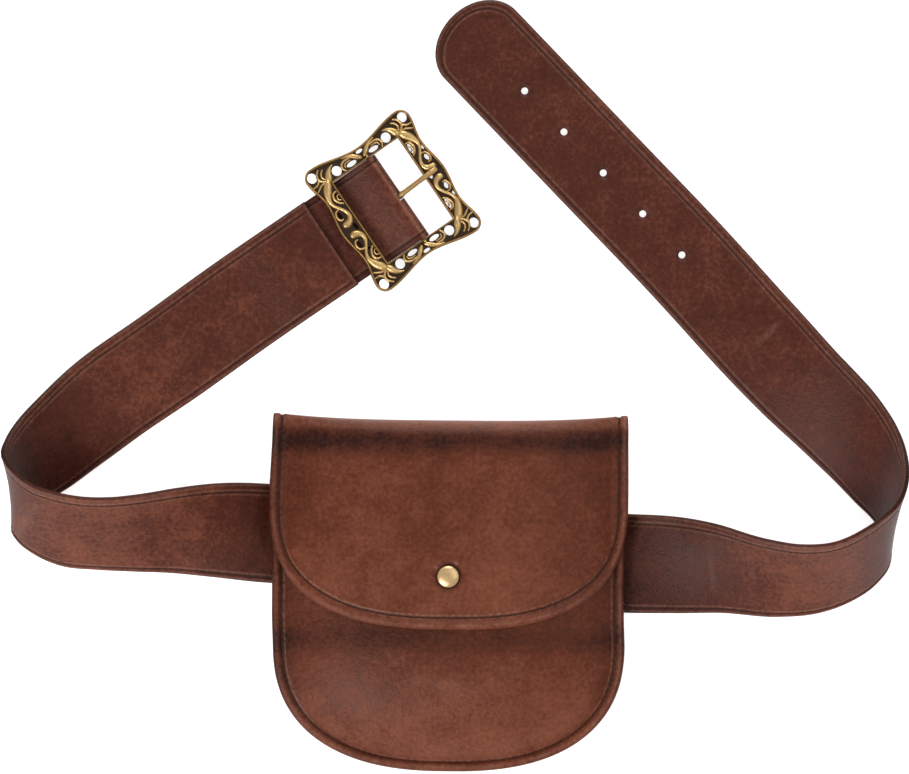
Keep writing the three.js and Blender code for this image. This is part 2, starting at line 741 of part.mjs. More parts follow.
function buckleFrame() {
  const outline = QUARTERS.flatMap(([flipX, flipY]) => mirrored(quarterOutline(), flipX, flipY));
  const bare = outline.filter((p, i) => p.distanceTo(outline[(i + 1) % outline.length]) > GAP / 10);
  const halfLength = WINDOW_LENGTH / 2;
  const halfWidth = WINDOW_WIDTH / 2;
  const windowCorners = [
    new THREE.Vector2(-halfLength, -halfWidth),
    new THREE.Vector2(halfLength, -halfWidth),
    new THREE.Vector2(halfLength, halfWidth),
    new THREE.Vector2(-halfLength, halfWidth),
  ];
  const plate = prism(bare, PLATE_THICK, [windowCorners, ...frameGaps()]).translate(0, 0, -PLATE_THICK / 2);
  let frame = solidOf(plate);
  frame = frame.add(rim(bare, -OUTER_WIRE, -GAP / 3));
  frame = frame.add(rim(windowCorners, GAP / 3, INNER_WIRE));
  const scrolls = [
    ...SIDE_SCROLLS.map((rows) => scrollPoints(true, rows)),
    ...END_SCROLLS.map((rows) => scrollPoints(false, rows)),
  ];
  for (const [flipX, flipY] of QUARTERS) {
    for (const scroll of scrolls) {
      frame = frame.add(
        crest(scroll.map((p) => ({ x: flipX ? -p.x : p.x, y: flipY ? -p.y : p.y, half: p.half }))),
      );
    }
  }
  const barLength = WINDOW_WIDTH + END_BAND;
  const bar = new THREE.CylinderGeometry(BAR_RADIUS, BAR_RADIUS, barLength, 12).translate(BAR_OFFSET, 0, 0);
  return geometryOf(frame.add(solidOf(bar))).translate(-BAR_OFFSET, 0, 0);
}

function buckleProng() {
  const ring = prism(arc(0, 0, RING_RADIUS, 0, 345, 23), RING_WIDTH, [
    arc(0, 0, BAR_RADIUS + RING_PLAY, 0, 337.5, 15),
  ]).translate(0, 0, -RING_WIDTH / 2);
  ring.rotateX(Math.PI / 2);
  const rest = PLATE_THICK / 2 + CREST_HEIGHT + GAP;
  const section = arc(0, 0, 0.5, 22.5, 337.5, 7);
  const points = PRONG_ROWS.flatMap((row) =>
    section.map((p) => {
      const rise = rest * row.rise + PRONG_THICK * row.thick * (0.5 + p.y);
      return new THREE.Vector3(PRONG_LENGTH * row.reach, PRONG_WIDTH * row.width * p.x, rise);
    }),
  );
  const sides = section.length;
  const faces = [];
  for (let i = 0; i + 1 < PRONG_ROWS.length; i += 1) {
    for (let k = 0; k < sides; k += 1) {
      const a = i * sides + k;
      const b = i * sides + ((k + 1) % sides);
      faces.push(a, b, b + sides, a, b + sides, a + sides);
    }
  }
  const last = (PRONG_ROWS.length - 1) * sides;
  for (let k = 1; k + 1 < sides; k += 1) {
    faces.push(0, k + 1, k, last, last + k, last + k + 1);
  }
  const shaft = solidOf(meshOf(points, faces));
  return geometryOf(solidOf(ring).add(shaft)).rotateZ(PRONG_ASKEW * TURN);
}

// Materials and assembly

function leather(color) {
  return new THREE.MeshStandardMaterial({ color, roughness: 0.45, metalness: 0 });
}

function brass(color) {
  return new THREE.MeshStandardMaterial({ color, roughness: 0.35, metalness: 1 });
}

function piece(name, geometry, material) {
  const mesh = new THREE.Mesh(geometry, material);
  mesh.name = name;
  return mesh;
}

const pouch = new THREE.Group();
pouch.position.set(POUCH_X * LAY_WIDTH, POUCH_Y * LAY_DEPTH, 0);
pouch.rotation.z = POUCH_TURN * TURN;
const loop = piece("belt_loop", beltLoop(), leather(0x5a2c1e));
loop.position.y = BELT_ROWS[POUCH_ROW].y * LAY_DEPTH - pouch.position.y;
pouch.add(
  piece("pouch_front", pouchFront(), leather(0x6e3b2b)),
  piece("pouch_back_and_flap", backAndFlap(), leather(0x733e2b)),
  piece("snap_stud", snapStud(), brass(0xb58c58)),
  loop,
);

const buckle = new THREE.Group();
const strapEnd = beltPoint(0, 0);
const outward = strapEnd.clone().sub(beltPoint(STRAP_STEP / 10, 0));
const outwardTurn = Math.atan2(outward.y, outward.x);
buckle.position.set(
  strapEnd.x + Math.cos(outwardTurn) * BAR_FROM_STRAP,
  strapEnd.y + Math.sin(outwardTurn) * BAR_FROM_STRAP,
  BAR_HEIGHT,
);
buckle.rotation.z = outwardTurn;
const hinged = new THREE.Group();
hinged.rotation.y = FRAME_TILT;
hinged.add(
  piece("buckle_frame", buckleFrame(), brass(0x9a7443)),
  piece("buckle_prong", buckleProng(), brass(0xa87f4a)),
);
const tabPieces = [
  piece("buckle_tab_upper", tabUpper(), leather(0x613226)),
  piece("buckle_tab_lower", tabLower(), leather(0x613226)),
  piece("buckle_tab_fold_left", tabFold(1), leather(0x613226)),
  piece("buckle_tab_fold_right", tabFold(-1), leather(0x613226)),
];
buckle.add(...tabPieces, hinged);

const group = new THREE.Group();
group.add(piece("belt_strap", beltStrap(), leather(0x5e3226)), pouch, buckle);

// The origin is on the surface, under the middle of the whole part.
const whole = new THREE.Box3().setFromObject(group, true);
group.position.set(-(whole.min.x + whole.max.x) / 2, -(whole.min.y + whole.max.y) / 2, -whole.min.z);

export default group;
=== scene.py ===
"""A leather belt pouch on a wide belt with a pierced brass buckle, laid flat on a pale surface.

Sizes are in millimetres and are turned into Blender's metres when a mesh is made. The leather pieces
follow the same rows and named sizes as the CAD part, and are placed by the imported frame.
"""

import json
import logging
import math
from collections.abc import Callable
from dataclasses import astuple, dataclass, field
from enum import Enum
from functools import partial

import bpy
import numpy as np
from mathutils import Matrix, Vector


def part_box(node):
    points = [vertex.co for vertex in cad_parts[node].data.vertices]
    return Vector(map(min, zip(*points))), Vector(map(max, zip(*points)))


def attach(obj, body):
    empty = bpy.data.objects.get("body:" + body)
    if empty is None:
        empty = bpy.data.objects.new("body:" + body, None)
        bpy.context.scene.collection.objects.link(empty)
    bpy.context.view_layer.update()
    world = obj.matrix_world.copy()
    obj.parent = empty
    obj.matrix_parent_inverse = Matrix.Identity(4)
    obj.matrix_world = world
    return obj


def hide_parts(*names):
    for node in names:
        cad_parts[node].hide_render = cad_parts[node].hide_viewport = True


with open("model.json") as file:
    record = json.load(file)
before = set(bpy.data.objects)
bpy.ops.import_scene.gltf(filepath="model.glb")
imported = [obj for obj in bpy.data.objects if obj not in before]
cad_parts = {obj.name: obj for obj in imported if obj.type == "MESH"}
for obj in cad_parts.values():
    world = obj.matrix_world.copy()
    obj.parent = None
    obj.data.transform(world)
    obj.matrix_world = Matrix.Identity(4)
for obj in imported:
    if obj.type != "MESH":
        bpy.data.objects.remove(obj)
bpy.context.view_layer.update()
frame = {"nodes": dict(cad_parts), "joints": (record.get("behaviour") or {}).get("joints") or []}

MM = 0.001
GAP = 0.3
STRAP_WIDTH = 49.5
STRAP_THICK = 2.4
WALL = 2.0
LOOP_THICK = 1.6
TAB_THICK = 1.2
TAB_NODES = ("buckle_tab_upper", "buckle_tab_lower", "buckle_tab_fold_left", "buckle_tab_fold_right")
LOOP_RISE = LOOP_THICK + GAP
BACK_HEIGHT = LOOP_RISE + STRAP_THICK + GAP

log = logging.getLogger("pouch")

Surface = Callable[[np.ndarray], np.ndarray]
Placing = Callable[[np.ndarray], tuple[np.ndarray, np.ndarray]]
HalfWidth = Callable[[np.ndarray], np.ndarray]


class Face(Enum):
    """The side of a leather sheet that a seam's stitches lie on."""

    FRONT = 1
    BACK = -1


# Small shaping helpers


def smooth(share: np.ndarray | float) -> np.ndarray:
    """Eases a share from 0 to 1.

    Args:
        share: where the value stands; it is held between 0 and 1.

    Returns:
        The eased share.
    """
    held = np.clip(share, 0.0, 1.0)
    return held * held * (3 - 2 * held)


def bell(distance: np.ndarray, width: float) -> np.ndarray:
    """A soft bump that is 1 at no distance and fades over a width.

    Args:
        distance: distances from the bump's middle.
        width: the distance at which it has faded to about a third.

    Returns:
        The bump's height at each distance.
    """
    return np.exp(-((distance / width) ** 2))


def distance_to(points: np.ndarray, line: np.ndarray) -> np.ndarray:
    """Distances from flat points to a flat polyline.

    Args:
        points: (n, 2) points.
        line: (m, 2) corners of the polyline.

    Returns:
        The n shortest distances.
    """
    starts, spans = line[:-1], line[1:] - line[:-1]
    lengths = np.maximum((spans**2).sum(1), 1e-12)
    nearest = []
    for block in np.array_split(points, max(1, len(points) // 4000)):
        offsets = block[:, None, :] - starts[None]
        share = np.clip((offsets * spans[None]).sum(2) / lengths, 0, 1)
        gaps = offsets - share[..., None] * spans[None]
        nearest.append(np.sqrt((gaps**2).sum(2)).min(1))
    return np.concatenate(nearest)


def inset_line(line: np.ndarray, margins: np.ndarray | float) -> np.ndarray:
    """Moves a flat polyline to its left by a margin.

    Args:
        line: (m, 2) corners.
        margins: one margin, or one for each corner.

    Returns:
        The moved corners.
    """
    along = np.gradient(line, axis=0)
    along /= np.maximum(np.linalg.norm(along, axis=1, keepdims=True), 1e-9)
    left = np.stack([-along[:, 1], along[:, 0]], 1)
    return line + left * np.broadcast_to(margins, len(line))[:, None]


def even_steps(line: np.ndarray, pitch: float) -> tuple[np.ndarray, np.ndarray]:
    """Walks along a polyline in even steps.

    Args:
        line: (m, k) corners.
        pitch: the step.

    Returns:
        The points and their unit tangents.
    """
    lengths = np.concatenate([[0], np.cumsum(np.linalg.norm(np.diff(line, axis=0), axis=1))])
    count = max(2, int(lengths[-1] / pitch))
    at = (np.arange(count) + 0.5) * lengths[-1] / count
    points = np.stack([np.interp(at, lengths, line[:, k]) for k in range(line.shape[1])], 1)
    along = np.gradient(points, axis=0)
    return points, along / np.linalg.norm(along, axis=1, keepdims=True)


def rounded(points: list[tuple[float, ...]], steps: int) -> np.ndarray:
    """A smooth curve through rows of numbers.

    Args:
        points: the rows that it passes through.
        steps: how many steps each stretch gets.

    Returns:
        The curve's rows.
    """
    rows = np.array(points, float)
    padded = np.vstack([2 * rows[0] - rows[1], rows, 2 * rows[-1] - rows[-2]])
    out = []
    for a, b, c, d in zip(padded[:-3], padded[1:-2], padded[2:-1], padded[3:]):
        bend, twist = 2 * a - 5 * b + 4 * c - d, 3 * b - a - 3 * c + d
        for t in np.arange(steps) / steps:
            out.append(0.5 * (2 * b + (c - a) * t + bend * t**2 + twist * t**3))
    return np.array([*out, rows[-1]])


# Meshes


@dataclass
class Shape:
    """Points in millimetres, faces and painted values of one mesh."""

    points: np.ndarray
    faces: list[list[int]]
    values: dict[str, np.ndarray] = field(default_factory=dict)

    def joined(self, other: "Shape") -> "Shape":
        """Adds another shape to this one.

        Args:
            other: the shape to add. A value that it lacks is 0 there.

        Returns:
            Both as one shape.
        """
        shift = len(self.points)
        names = {*self.values, *other.values}
        values = {
            name: np.concatenate(
                [
                    self.values.get(name, np.zeros(shift)),
                    other.values.get(name, np.zeros(len(other.points))),
                ]
            )
            for name in names
        }
        faces = self.faces + [[i + shift for i in face] for face in other.faces]
        return Shape(np.vstack([self.points, other.points]), faces, values)

    def moved(self, matrix: Matrix) -> "Shape":
        """Moves the shape.

        Args:
            matrix: where it goes, in millimetres.

        Returns:
            The moved shape.
        """
        m = np.array(matrix, float)
        return Shape(self.points @ m[:3, :3].T + m[:3, 3], self.faces, self.values)

    def to_object(self, name: str, material: bpy.types.Material) -> bpy.types.Object:
        """Makes the Blender object.

        Args:
            name: the piece's name.
            material: its finish.

        Returns:
            The linked object, with smooth faces.
        """
        mesh = bpy.data.meshes.new(name)
        mesh.from_pydata((self.points * MM).tolist(), [], self.faces)
        mesh.polygons.foreach_set("use_smooth", [True] * len(mesh.polygons))
        for value_name, numbers in self.values.items():
            layer = mesh.attributes.new(value_name, "FLOAT", "POINT")
            layer.data.foreach_set("value", numbers.astype(np.float32))
        mesh.materials.append(material)
        mesh.update()
        made = bpy.data.objects.new(name, mesh)
        bpy.context.scene.collection.objects.link(made)
        return made


def tube_faces(rings: int, sides: int, flipped: bool = False, closed: bool = False) -> list[list[int]]:
    """The four-sided faces between rings of points.

    Args:
        rings: how many rings there are.
        sides: points in each ring.
        flipped: whether the faces look the other way.
        closed: whether the last ring joins the first.

    Returns:
        Each face's four point numbers.
    """
    faces = []
    for i in range(rings if closed else rings - 1):
        after = (i + 1) % rings
        for k in range(sides):
            beside = (k + 1) % sides
            face = [i * sides + k, after * sides + k, after * sides + beside, i * sides + beside]
            faces.append([face[0], *face[:0:-1]] if flipped else face)
    return faces


def shell(
    middle: np.ndarray,
    normal: np.ndarray,
    above: np.ndarray,
    below: np.ndarray,
    keep: np.ndarray | None = None,
    values: dict[str, np.ndarray] | None = None,
) -> Shape:
    """A closed sheet round a grid of points.

    Args:
        middle: (rows, columns, 3) points of the sheet's middle surface.
        normal: unit normals of the same form.
        above: how far the front face stands off the middle surface.
        below: how far the back face stands off it.
        keep: (rows - 1, columns - 1) cells to keep; the others are cut out.
        values: painted values on the grid, given to both faces.

    Returns:
        The sheet, closed round its outline and round each hole.
    """
    rows, columns = middle.shape[:2]
    count = rows * columns
    kept = np.ones((rows - 1, columns - 1), bool) if keep is None else keep
    front = (middle + normal * above[..., None]).reshape(-1, 3)
    back = (middle - normal * below[..., None]).reshape(-1, 3)
    index = np.arange(count).reshape(rows, columns)
    corners = np.stack([index[:-1, :-1], index[1:, :-1], index[1:, 1:], index[:-1, 1:]], -1)
    wide = np.pad(kept, 1)
    beside = [wide[1:-1, :-2], wide[2:, 1:-1], wide[1:-1, 2:], wide[:-2, 1:-1]]
    cells = corners[kept]
    quads = [cells, cells[:, ::-1] + count]
    for side in range(4):
        edge = kept & ~beside[side]
        start = corners[..., side][edge]
        end = corners[..., (side + 1) % 4][edge]
        quads.append(np.stack([end, start, start + count, end + count], -1))
    faces = np.vstack(quads)
    used = np.unique(faces)
    renumber = np.zeros(2 * count, int)
    renumber[used] = np.arange(len(used))
    painted = {
        name: np.concatenate([grid.ravel(), grid.ravel()])[used] for name, grid in (values or {}).items()
    }
    return Shape(np.vstack([front, back])[used], renumber[faces].tolist(), painted)


def sweep(path: np.ndarray, half_width: np.ndarray, half_height: np.ndarray, sides: int = 12) -> Shape:
    """A closed rod with an oval section along a path in or near the XY plane.

    Args:
        path: (m, 3) middle points.
        half_width: the section's half width across the path, at each point.
        half_height: its half height, at each point.
        sides: points round the section.

    Returns:
        The rod with rounded ends, painted with how high each point stands in its section.
    """
    along = np.gradient(path, axis=0)
    along /= np.linalg.norm(along, axis=1, keepdims=True)
    across = np.cross(along, [0.0, 0.0, 1.0])
    across /= np.linalg.norm(across, axis=1, keepdims=True)
    up = np.cross(across, along)
    turns = np.linspace(0, 2 * math.pi, sides, endpoint=False)
    rings, heights = [], []
    end_steps = [(0.85, 0.53), (0.45, 0.89)]
    order = [(0, -reach, size) for reach, size in end_steps]
    order += [(i, 0.0, 1.0) for i in range(len(path))]
    order += [(len(path) - 1, reach, size) for reach, size in reversed(end_steps)]
    for i, reach, size in order:
        centre = path[i] + along[i] * reach * min(half_width[i], half_height[i])
        side = np.cos(turns)[:, None] * across[i] * half_width[i] * size
        rise = np.sin(turns)[:, None] * up[i] * half_height[i] * size
        rings.append(centre + side + rise)
        heights.append(np.sin(turns) * size)
    faces = tube_faces(len(rings), sides, flipped=True)
    last = (len(rings) - 1) * sides
    faces.append(list(range(sides))[::-1])
    faces.append([last + k for k in range(sides)])
    return Shape(np.vstack(rings), faces, {"crest": np.concatenate(heights)})


def stitches(
    place: Placing, line: np.ndarray, face: Face, stand: float, pitch: float, width: float
) -> Shape:
    """A row of stitches on a leather sheet.

    Args:
        place: turns flat points of the sheet into points of its middle surface and normals.
        line: the seam's flat corners.
        face: the side of the sheet that they lie on.
        stand: how far the seam's leather lies off the middle surface.
        pitch: from one stitch to the next.
        width: the thread's width.

    Returns:
        All the stitches as one shape.
    """
    flat, along = even_steps(line, pitch)
    step = 0.25
    centre, normal = place(flat)
    ahead, _ = place(flat + along * step)
    behind, _ = place(flat - along * step)
    forward = ahead - behind
    forward /= np.linalg.norm(forward, axis=1, keepdims=True)
    outward = normal * face.value
    side = np.cross(outward, forward)
    sides = 5
    turns = np.arange(sides) * 2 * math.pi / sides
    flank, end = (0.95, 0.05), (0.35, -0.5)
    profile = [(-0.44, *end), (-0.3, *flank), (0.0, 1.0, 0.2), (0.3, *flank), (0.44, *end)]
    half = width / 2
    rings = []
    for reach, size, rise in profile:
        for turn in turns:
            rings.append(
                centre
                + forward * reach * pitch
                + outward * (stand + half * (rise + math.sin(turn) * size))
                + side * math.cos(turn) * half * size
            )
    points = np.stack(rings, 1).reshape(-1, 3)
    per = len(profile) * sides
    one = tube_faces(len(profile), sides)
    one.append(list(range(sides)))
    one.append([per - 1 - k for k in range(sides)])
    faces = [[i + n * per for i in face] for n in range(len(flat)) for face in one]
    return Shape(points, faces)


# Shader graphs


class Signal:
    """A shader socket that Python's operators work on."""

    def __init__(self, graph: "Graph", socket: bpy.types.NodeSocket) -> None:
        """Keeps the socket and the graph that it is in.

        Args:
            graph: the material's graph.
            socket: the output that the signal stands for.
        """
        self.graph = graph
        self.socket = socket

    def __add__(self, other: "Signal | float") -> "Signal":
        """This plus another."""
        return self.graph.math("ADD", self, other)

    def __radd__(self, other: float) -> "Signal":
        """A number plus this."""
        return self.graph.math("ADD", other, self)

    def __sub__(self, other: "Signal | float") -> "Signal":
        """This less another."""
        return self.graph.math("SUBTRACT", self, other)

    def __rsub__(self, other: float) -> "Signal":
        """A number less this."""
        return self.graph.math("SUBTRACT", other, self)

    def __mul__(self, other: "Signal | float") -> "Signal":
        """This times another."""
        return self.graph.math("MULTIPLY", self, other)

    def __rmul__(self, other: float) -> "Signal":
        """A number times this."""
        return self.graph.math("MULTIPLY", other, self)

    def clamped(self) -> "Signal":
        """This, held between 0 and 1."""
        return self.graph.math("MINIMUM", self.graph.math("MAXIMUM", self, 0.0), 1.0)


class Graph:
    """The nodes of one material."""

    def __init__(self, name: str) -> None:
        """Starts a material with a principled shader.

        Args:
            name: the material's name.
        """
        self.material = bpy.data.materials.new(name)
        self.material.use_nodes = True
        self.tree = self.material.node_tree
        self.shader = self.tree.nodes["Principled BSDF"]
        coordinates = self.tree.nodes.new("ShaderNodeTexCoord")
        self.place = Signal(self, coordinates.outputs["Object"])

    def node(
        self, kind: str, settings: dict | None = None, inputs: dict | None = None
    ) -> bpy.types.Node:
        """Adds a node.

        Args:
            kind: its Blender type.
            settings: properties set first; "stops" are a ramp's places and colours.
            inputs: values or signals by socket name or number.

        Returns:
            The node.
        """
        made = self.tree.nodes.new(kind)
        for name, value in (settings or {}).items():
            if name == "stops":
                while len(made.color_ramp.elements) < len(value):
                    made.color_ramp.elements.new(0.5)
                for element, (position, color) in zip(made.color_ramp.elements, value):
                    element.position = position
                    element.color = (*color, 1.0)
            else:
                setattr(made, name, value)
        for name, value in (inputs or {}).items():
            self.feed(made.inputs[name], value)
        return made

    def feed(self, socket: bpy.types.NodeSocket, value: "Signal | float | tuple") -> None:
        """Links a signal to a socket, or sets the socket's own value.

        Args:
            socket: the input to feed.
            value: a signal, a number, or a colour or vector.
        """
        if isinstance(value, Signal):
            self.tree.links.new(value.socket, socket)
        elif isinstance(value, tuple) and len(value) == 3 and len(socket.default_value) == 4:
            socket.default_value = (*value, 1.0)
        else:
            socket.default_value = value

    def math(self, operation: str, a: "Signal | float", b: "Signal | float") -> Signal:
        """Adds a Math node.

        Args:
            operation: its Blender name.
            a: the first value.
            b: the second value.

        Returns:
            Its result.
        """
        made = self.node("ShaderNodeMath", {"operation": operation}, {0: a, 1: b})
        return Signal(self, made.outputs[0])

    def mixed(
        self, factor: "Signal | float", a: "Signal | tuple", b: "Signal | tuple", blend: str = "MIX"
    ) -> Signal:
        """Mixes two colours.

        Args:
            factor: 0 for the first colour and 1 for the second.
            a: the first colour.
            b: the second colour.
            blend: Blender's blend mode.

        Returns:
            The mixed colour.
        """
        settings = {"data_type": "RGBA", "blend_type": blend, "clamp_factor": True}
        made = self.node("ShaderNodeMix", settings, {0: factor, 6: a, 7: b})
        return Signal(self, made.outputs[2])

    def noise(self, scale: float, detail: float = 3.0, rough: float = 0.55) -> Signal:
        """Cloudy noise about 0.

        Args:
            scale: clouds a metre.
            detail: octaves.
            rough: how strong the finer octaves are.

        Returns:
            Values from about -0.5 to 0.5.
        """
        inputs = {"Vector": self.place, "Scale": scale, "Detail": detail, "Roughness": rough}
        made = self.node("ShaderNodeTexNoise", None, inputs)
        return Signal(self, made.outputs["Fac"]) - 0.5

    def cells(self, scale: float) -> Signal:
        """Distance from the middle of pebble-like cells, about 0 to 1."""
        made = self.node("ShaderNodeTexVoronoi", None, {"Vector": self.place, "Scale": scale})
        return Signal(self, made.outputs["Distance"])

    def ramp(self, value: Signal, stops: list[tuple[float, tuple]]) -> Signal:
        """The colour of a value on a ramp of stops."""
        made = self.node("ShaderNodeValToRGB", {"stops": stops}, {"Fac": value})
        return Signal(self, made.outputs["Color"])

    def painted(self, name: str) -> Signal:
        """A value painted on the mesh."""
        made = self.node("ShaderNodeAttribute", {"attribute_name": name})
        return Signal(self, made.outputs["Fac"])

    def bumped(self, height: Signal, depth: float) -> None:
        """Raises the surface by a height, up to a depth in metres, through a Bump node."""
        made = self.node("ShaderNodeBump", None, {"Height": height, "Distance": depth, "Strength": 1.0})
        self.feed(self.shader.inputs["Normal"], Signal(self, made.outputs["Normal"]))


def tint(red: int, green: int, blue: int) -> tuple[float, float, float]:
    """Turns a screen colour into Blender's linear colour.

    Args:
        red: its red part, 0 to 255.
        green: its green part.
        blue: its blue part.

    Returns:
        The linear colour, 0 to 1.
    """
    screen = np.array([red, green, blue]) / 255
    linear = np.where(screen <= 0.04045, screen / 12.92, ((screen + 0.055) / 1.055) ** 2.4)
    return tuple(float(x) for x in linear)


@dataclass(frozen=True)
class LeatherFinish:
    """Waxed red-brown leather, with painted shade in its stitch grooves and painted highlights on its edges,
    seams and folds.
    """

    name: str
    dark: tuple[float, float, float] = tint(46, 13, 5)
    middle: tuple[float, float, float] = tint(104, 50, 30)
    light: tuple[float, float, float] = tint(146, 84, 60)
    # the colour of the painted highlights
    highlight_color: tuple[float, float, float] = tint(176, 128, 108)
    # the colour of the painted shade in the stitch grooves
    groove: tuple[float, float, float] = tint(32, 12, 7)
    roughness: float = 0.44
    grain_depth: float = 0.0002

    def material(self) -> bpy.types.Material:
        """Builds the material.

        Returns:
            The leather, painted by the mesh's tone, painted highlight and groove values.
        """
        g = Graph(self.name)
        clouds = g.noise(16, 3)
        patches = g.noise(75, 4, 0.6)
        flecks = g.noise(480, 3, 0.65)
        level = 0.5 + g.painted("tone") * 0.5 + clouds * 0.5 + patches * 0.5 + flecks * 0.75
        stops = [(0.0, self.dark), (0.5, self.middle), (1.0, self.light)]
        color = g.ramp(level.clamped(), stops)
        # Painted highlights in the pale colour, flecked, where the mesh's value calls for them
        highlight_share = (g.painted("rub") * (0.75 + flecks * 1.6)).clamped()
        color = g.mixed(highlight_share, color, self.highlight_color)
        # Painted shade in the stitch grooves
        color = g.mixed((g.painted("groove") * 0.85).clamped(), color, self.groove)
        g.feed(g.shader.inputs["Base Color"], color)
        gloss = self.roughness + flecks * 0.35 + patches * 0.15 - highlight_share * 0.08
        g.feed(g.shader.inputs["Roughness"], gloss.clamped())
        g.feed(g.shader.inputs["Specular IOR Level"], 0.22)
        grain = g.cells(820) * 0.5 + g.noise(1500, 2) * 0.8 + g.noise(260, 4, 0.6) * 1.1
        g.bumped(grain, self.grain_depth)
        return g.material


@dataclass(frozen=True)
class ThreadFinish:
    """Waxed thread of the leather's own colour."""

    name: str
    color: tuple[float, float, float] = tint(44, 15, 8)
    worn: tuple[float, float, float] = tint(112, 62, 44)
    roughness: float = 0.4

    def material(self) -> bpy.types.Material:
        """Builds the material.

        Returns:
            The thread, worn paler in places.
        """
        g = Graph(self.name)
        light = g.noise(900, 2)
        color = g.mixed((0.3 + light * 1.6).clamped(), self.color, self.worn)
        g.feed(g.shader.inputs["Base Color"], color)
        g.feed(g.shader.inputs["Roughness"], self.roughness)
        g.feed(g.shader.inputs["Specular IOR Level"], 0.25)
        return g.material


@dataclass(frozen=True)
class BrassFinish:
    """Antique brass, dark in its hollows and bright on its crests."""

    name: str
    hollow: tuple[float, float, float] = tint(54, 36, 18)
    body: tuple[float, float, float] = tint(164, 122, 66)
    bright: tuple[float, float, float] = tint(238, 200, 136)
    roughness: float = 0.34

    def material(self) -> bpy.types.Material:
        """Builds the material.

        Returns:
            The brass, painted by how high the mesh's crest value is.
        """
        g = Graph(self.name)
        stain = g.noise(420, 4, 0.65)
        fine = g.noise(1600, 2)
        height = (0.5 + g.painted("crest") * 0.5 + stain * 0.35).clamped()
        stops = [(0.3, self.hollow), (0.62, self.body), (1.0, self.bright)]
        g.feed(g.shader.inputs["Base Color"], g.ramp(height, stops))
        g.feed(g.shader.inputs["Metallic"], (0.3 + height * 0.5).clamped())
        g.feed(g.shader.inputs["Roughness"], (self.roughness + 0.25 - height * 0.28 + fine * 0.2).clamped())
        g.bumped(stain + fine * 0.4, 0.00012)
        return g.material


def put(made: bpy.types.Object, body: str, slot: str, nodes: tuple[str, ...] = ()) -> None:
    """Lets a piece ride on its body and reports it.

    Args:
        made: the piece.
        body: the body that it moves with.
        slot: not used.
        nodes: the CAD nodes that it stands for.
    """
    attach(made, body)
    if nodes:
        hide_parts(*nodes)
    log.info("%s: %d points", made.name, len(made.data.vertices))


# The belt


@dataclass(frozen=True)
class BeltRow:
    """One section of the belt's course, as the CAD part has it."""

    x: float
    y: float
    towards: float
    climb: float


BELT_ROWS = [
    BeltRow(-0.136, 0.187, 123.5, 0),
    BeltRow(-0.238, 0.105, 124.5, 2),
    BeltRow(-0.315, 0.04, 125.5, 6),
    BeltRow(-0.387, -0.019, 126.5, 12),
    BeltRow(-0.425, -0.056, 126, 23),
    BeltRow(-0.46, -0.092, 123, 34),
    BeltRow(-0.4745, -0.107, 119, 43),
    BeltRow(-0.487, -0.125, 109, 51),
    BeltRow(-0.489, -0.137, 97, 53),
    BeltRow(-0.4865, -0.148, 87, 54),
    BeltRow(-0.476, -0.162, 79, 53),
    BeltRow(-0.453, -0.177, 77, 48),
    BeltRow(-0.425, -0.187, 77, 44),
    BeltRow(-0.388, -0.19, 78, 42),
    BeltRow(-0.353, -0.189, 81, 38),
    BeltRow(-0.308, -0.186, 85, 30),
    BeltRow(-0.261, -0.186, 88, 17),
    BeltRow(-0.206, -0.19, 87, 0),
    BeltRow(-0.008, -0.211, 85, 0),
    BeltRow(0.191, -0.229, 88, 0),
    BeltRow(0.245, -0.231, 90, 12),
    BeltRow(0.289, -0.235, 93, 25),
    BeltRow(0.35, -0.2475, 99, 37),
    BeltRow(0.393, -0.249, 102, 45),
    BeltRow(0.426, -0.241, 102.5, 51),
    BeltRow(0.4605, -0.2185, 100, 55),
    BeltRow(0.4755, -0.2015, 96, 58.5),
    BeltRow(0.4855, -0.178, 79, 61),
    BeltRow(0.483, -0.146, 57, 56),
    BeltRow(0.47, -0.115, 46, 44),
    BeltRow(0.454, -0.086, 42.5, 34),
    BeltRow(0.433, -0.056, 42, 25),
    BeltRow(0.379, 0.0085, 43.5, 14),
    BeltRow(0.338, 0.06, 44, 5),
    BeltRow(0.257, 0.1645, 44, 0),
    BeltRow(0.151, 0.2945, 44, 0),
    BeltRow(-0.002, 0.482, 44, 0),
]


@dataclass(frozen=True)
class BeltShading:
    """Painted shade and painted light on the belt at a share of its length, -1 (shade) to 1 (light): both
    lie in its bends, and shade lies beside the pouch.
    """

    at: float
    tone: float


BELT_SHADING = [
    BeltShading(0.0, -0.1),
    BeltShading(0.06, 0.0),
    BeltShading(0.13, 0.05),
    BeltShading(0.165, -0.35),
    BeltShading(0.2, -0.6),
    BeltShading(0.215, 0.1),
    BeltShading(0.25, 0.45),
    BeltShading(0.3, 0.15),
    BeltShading(0.335, -0.35),
    BeltShading(0.52, -0.6),
    BeltShading(0.555, -0.25),
    BeltShading(0.59, 0.15),
    BeltShading(0.63, 0.3),
    BeltShading(0.65, -0.1),
    BeltShading(0.67, -0.6),
    BeltShading(0.71, -0.3),
    BeltShading(0.76, 0.0),
    BeltShading(0.86, 0.05),
    BeltShading(0.97, -0.05),
    BeltShading(1.0, -0.3),
]


@dataclass(frozen=True)
class Crease:
    """A crease pressed across a leather sheet, from one flat point to another, with a painted highlight
    along it.
    """

    start: tuple[float, float]
    end: tuple[float, float]
    depth: float
    width: float
    rub: float = 0.0


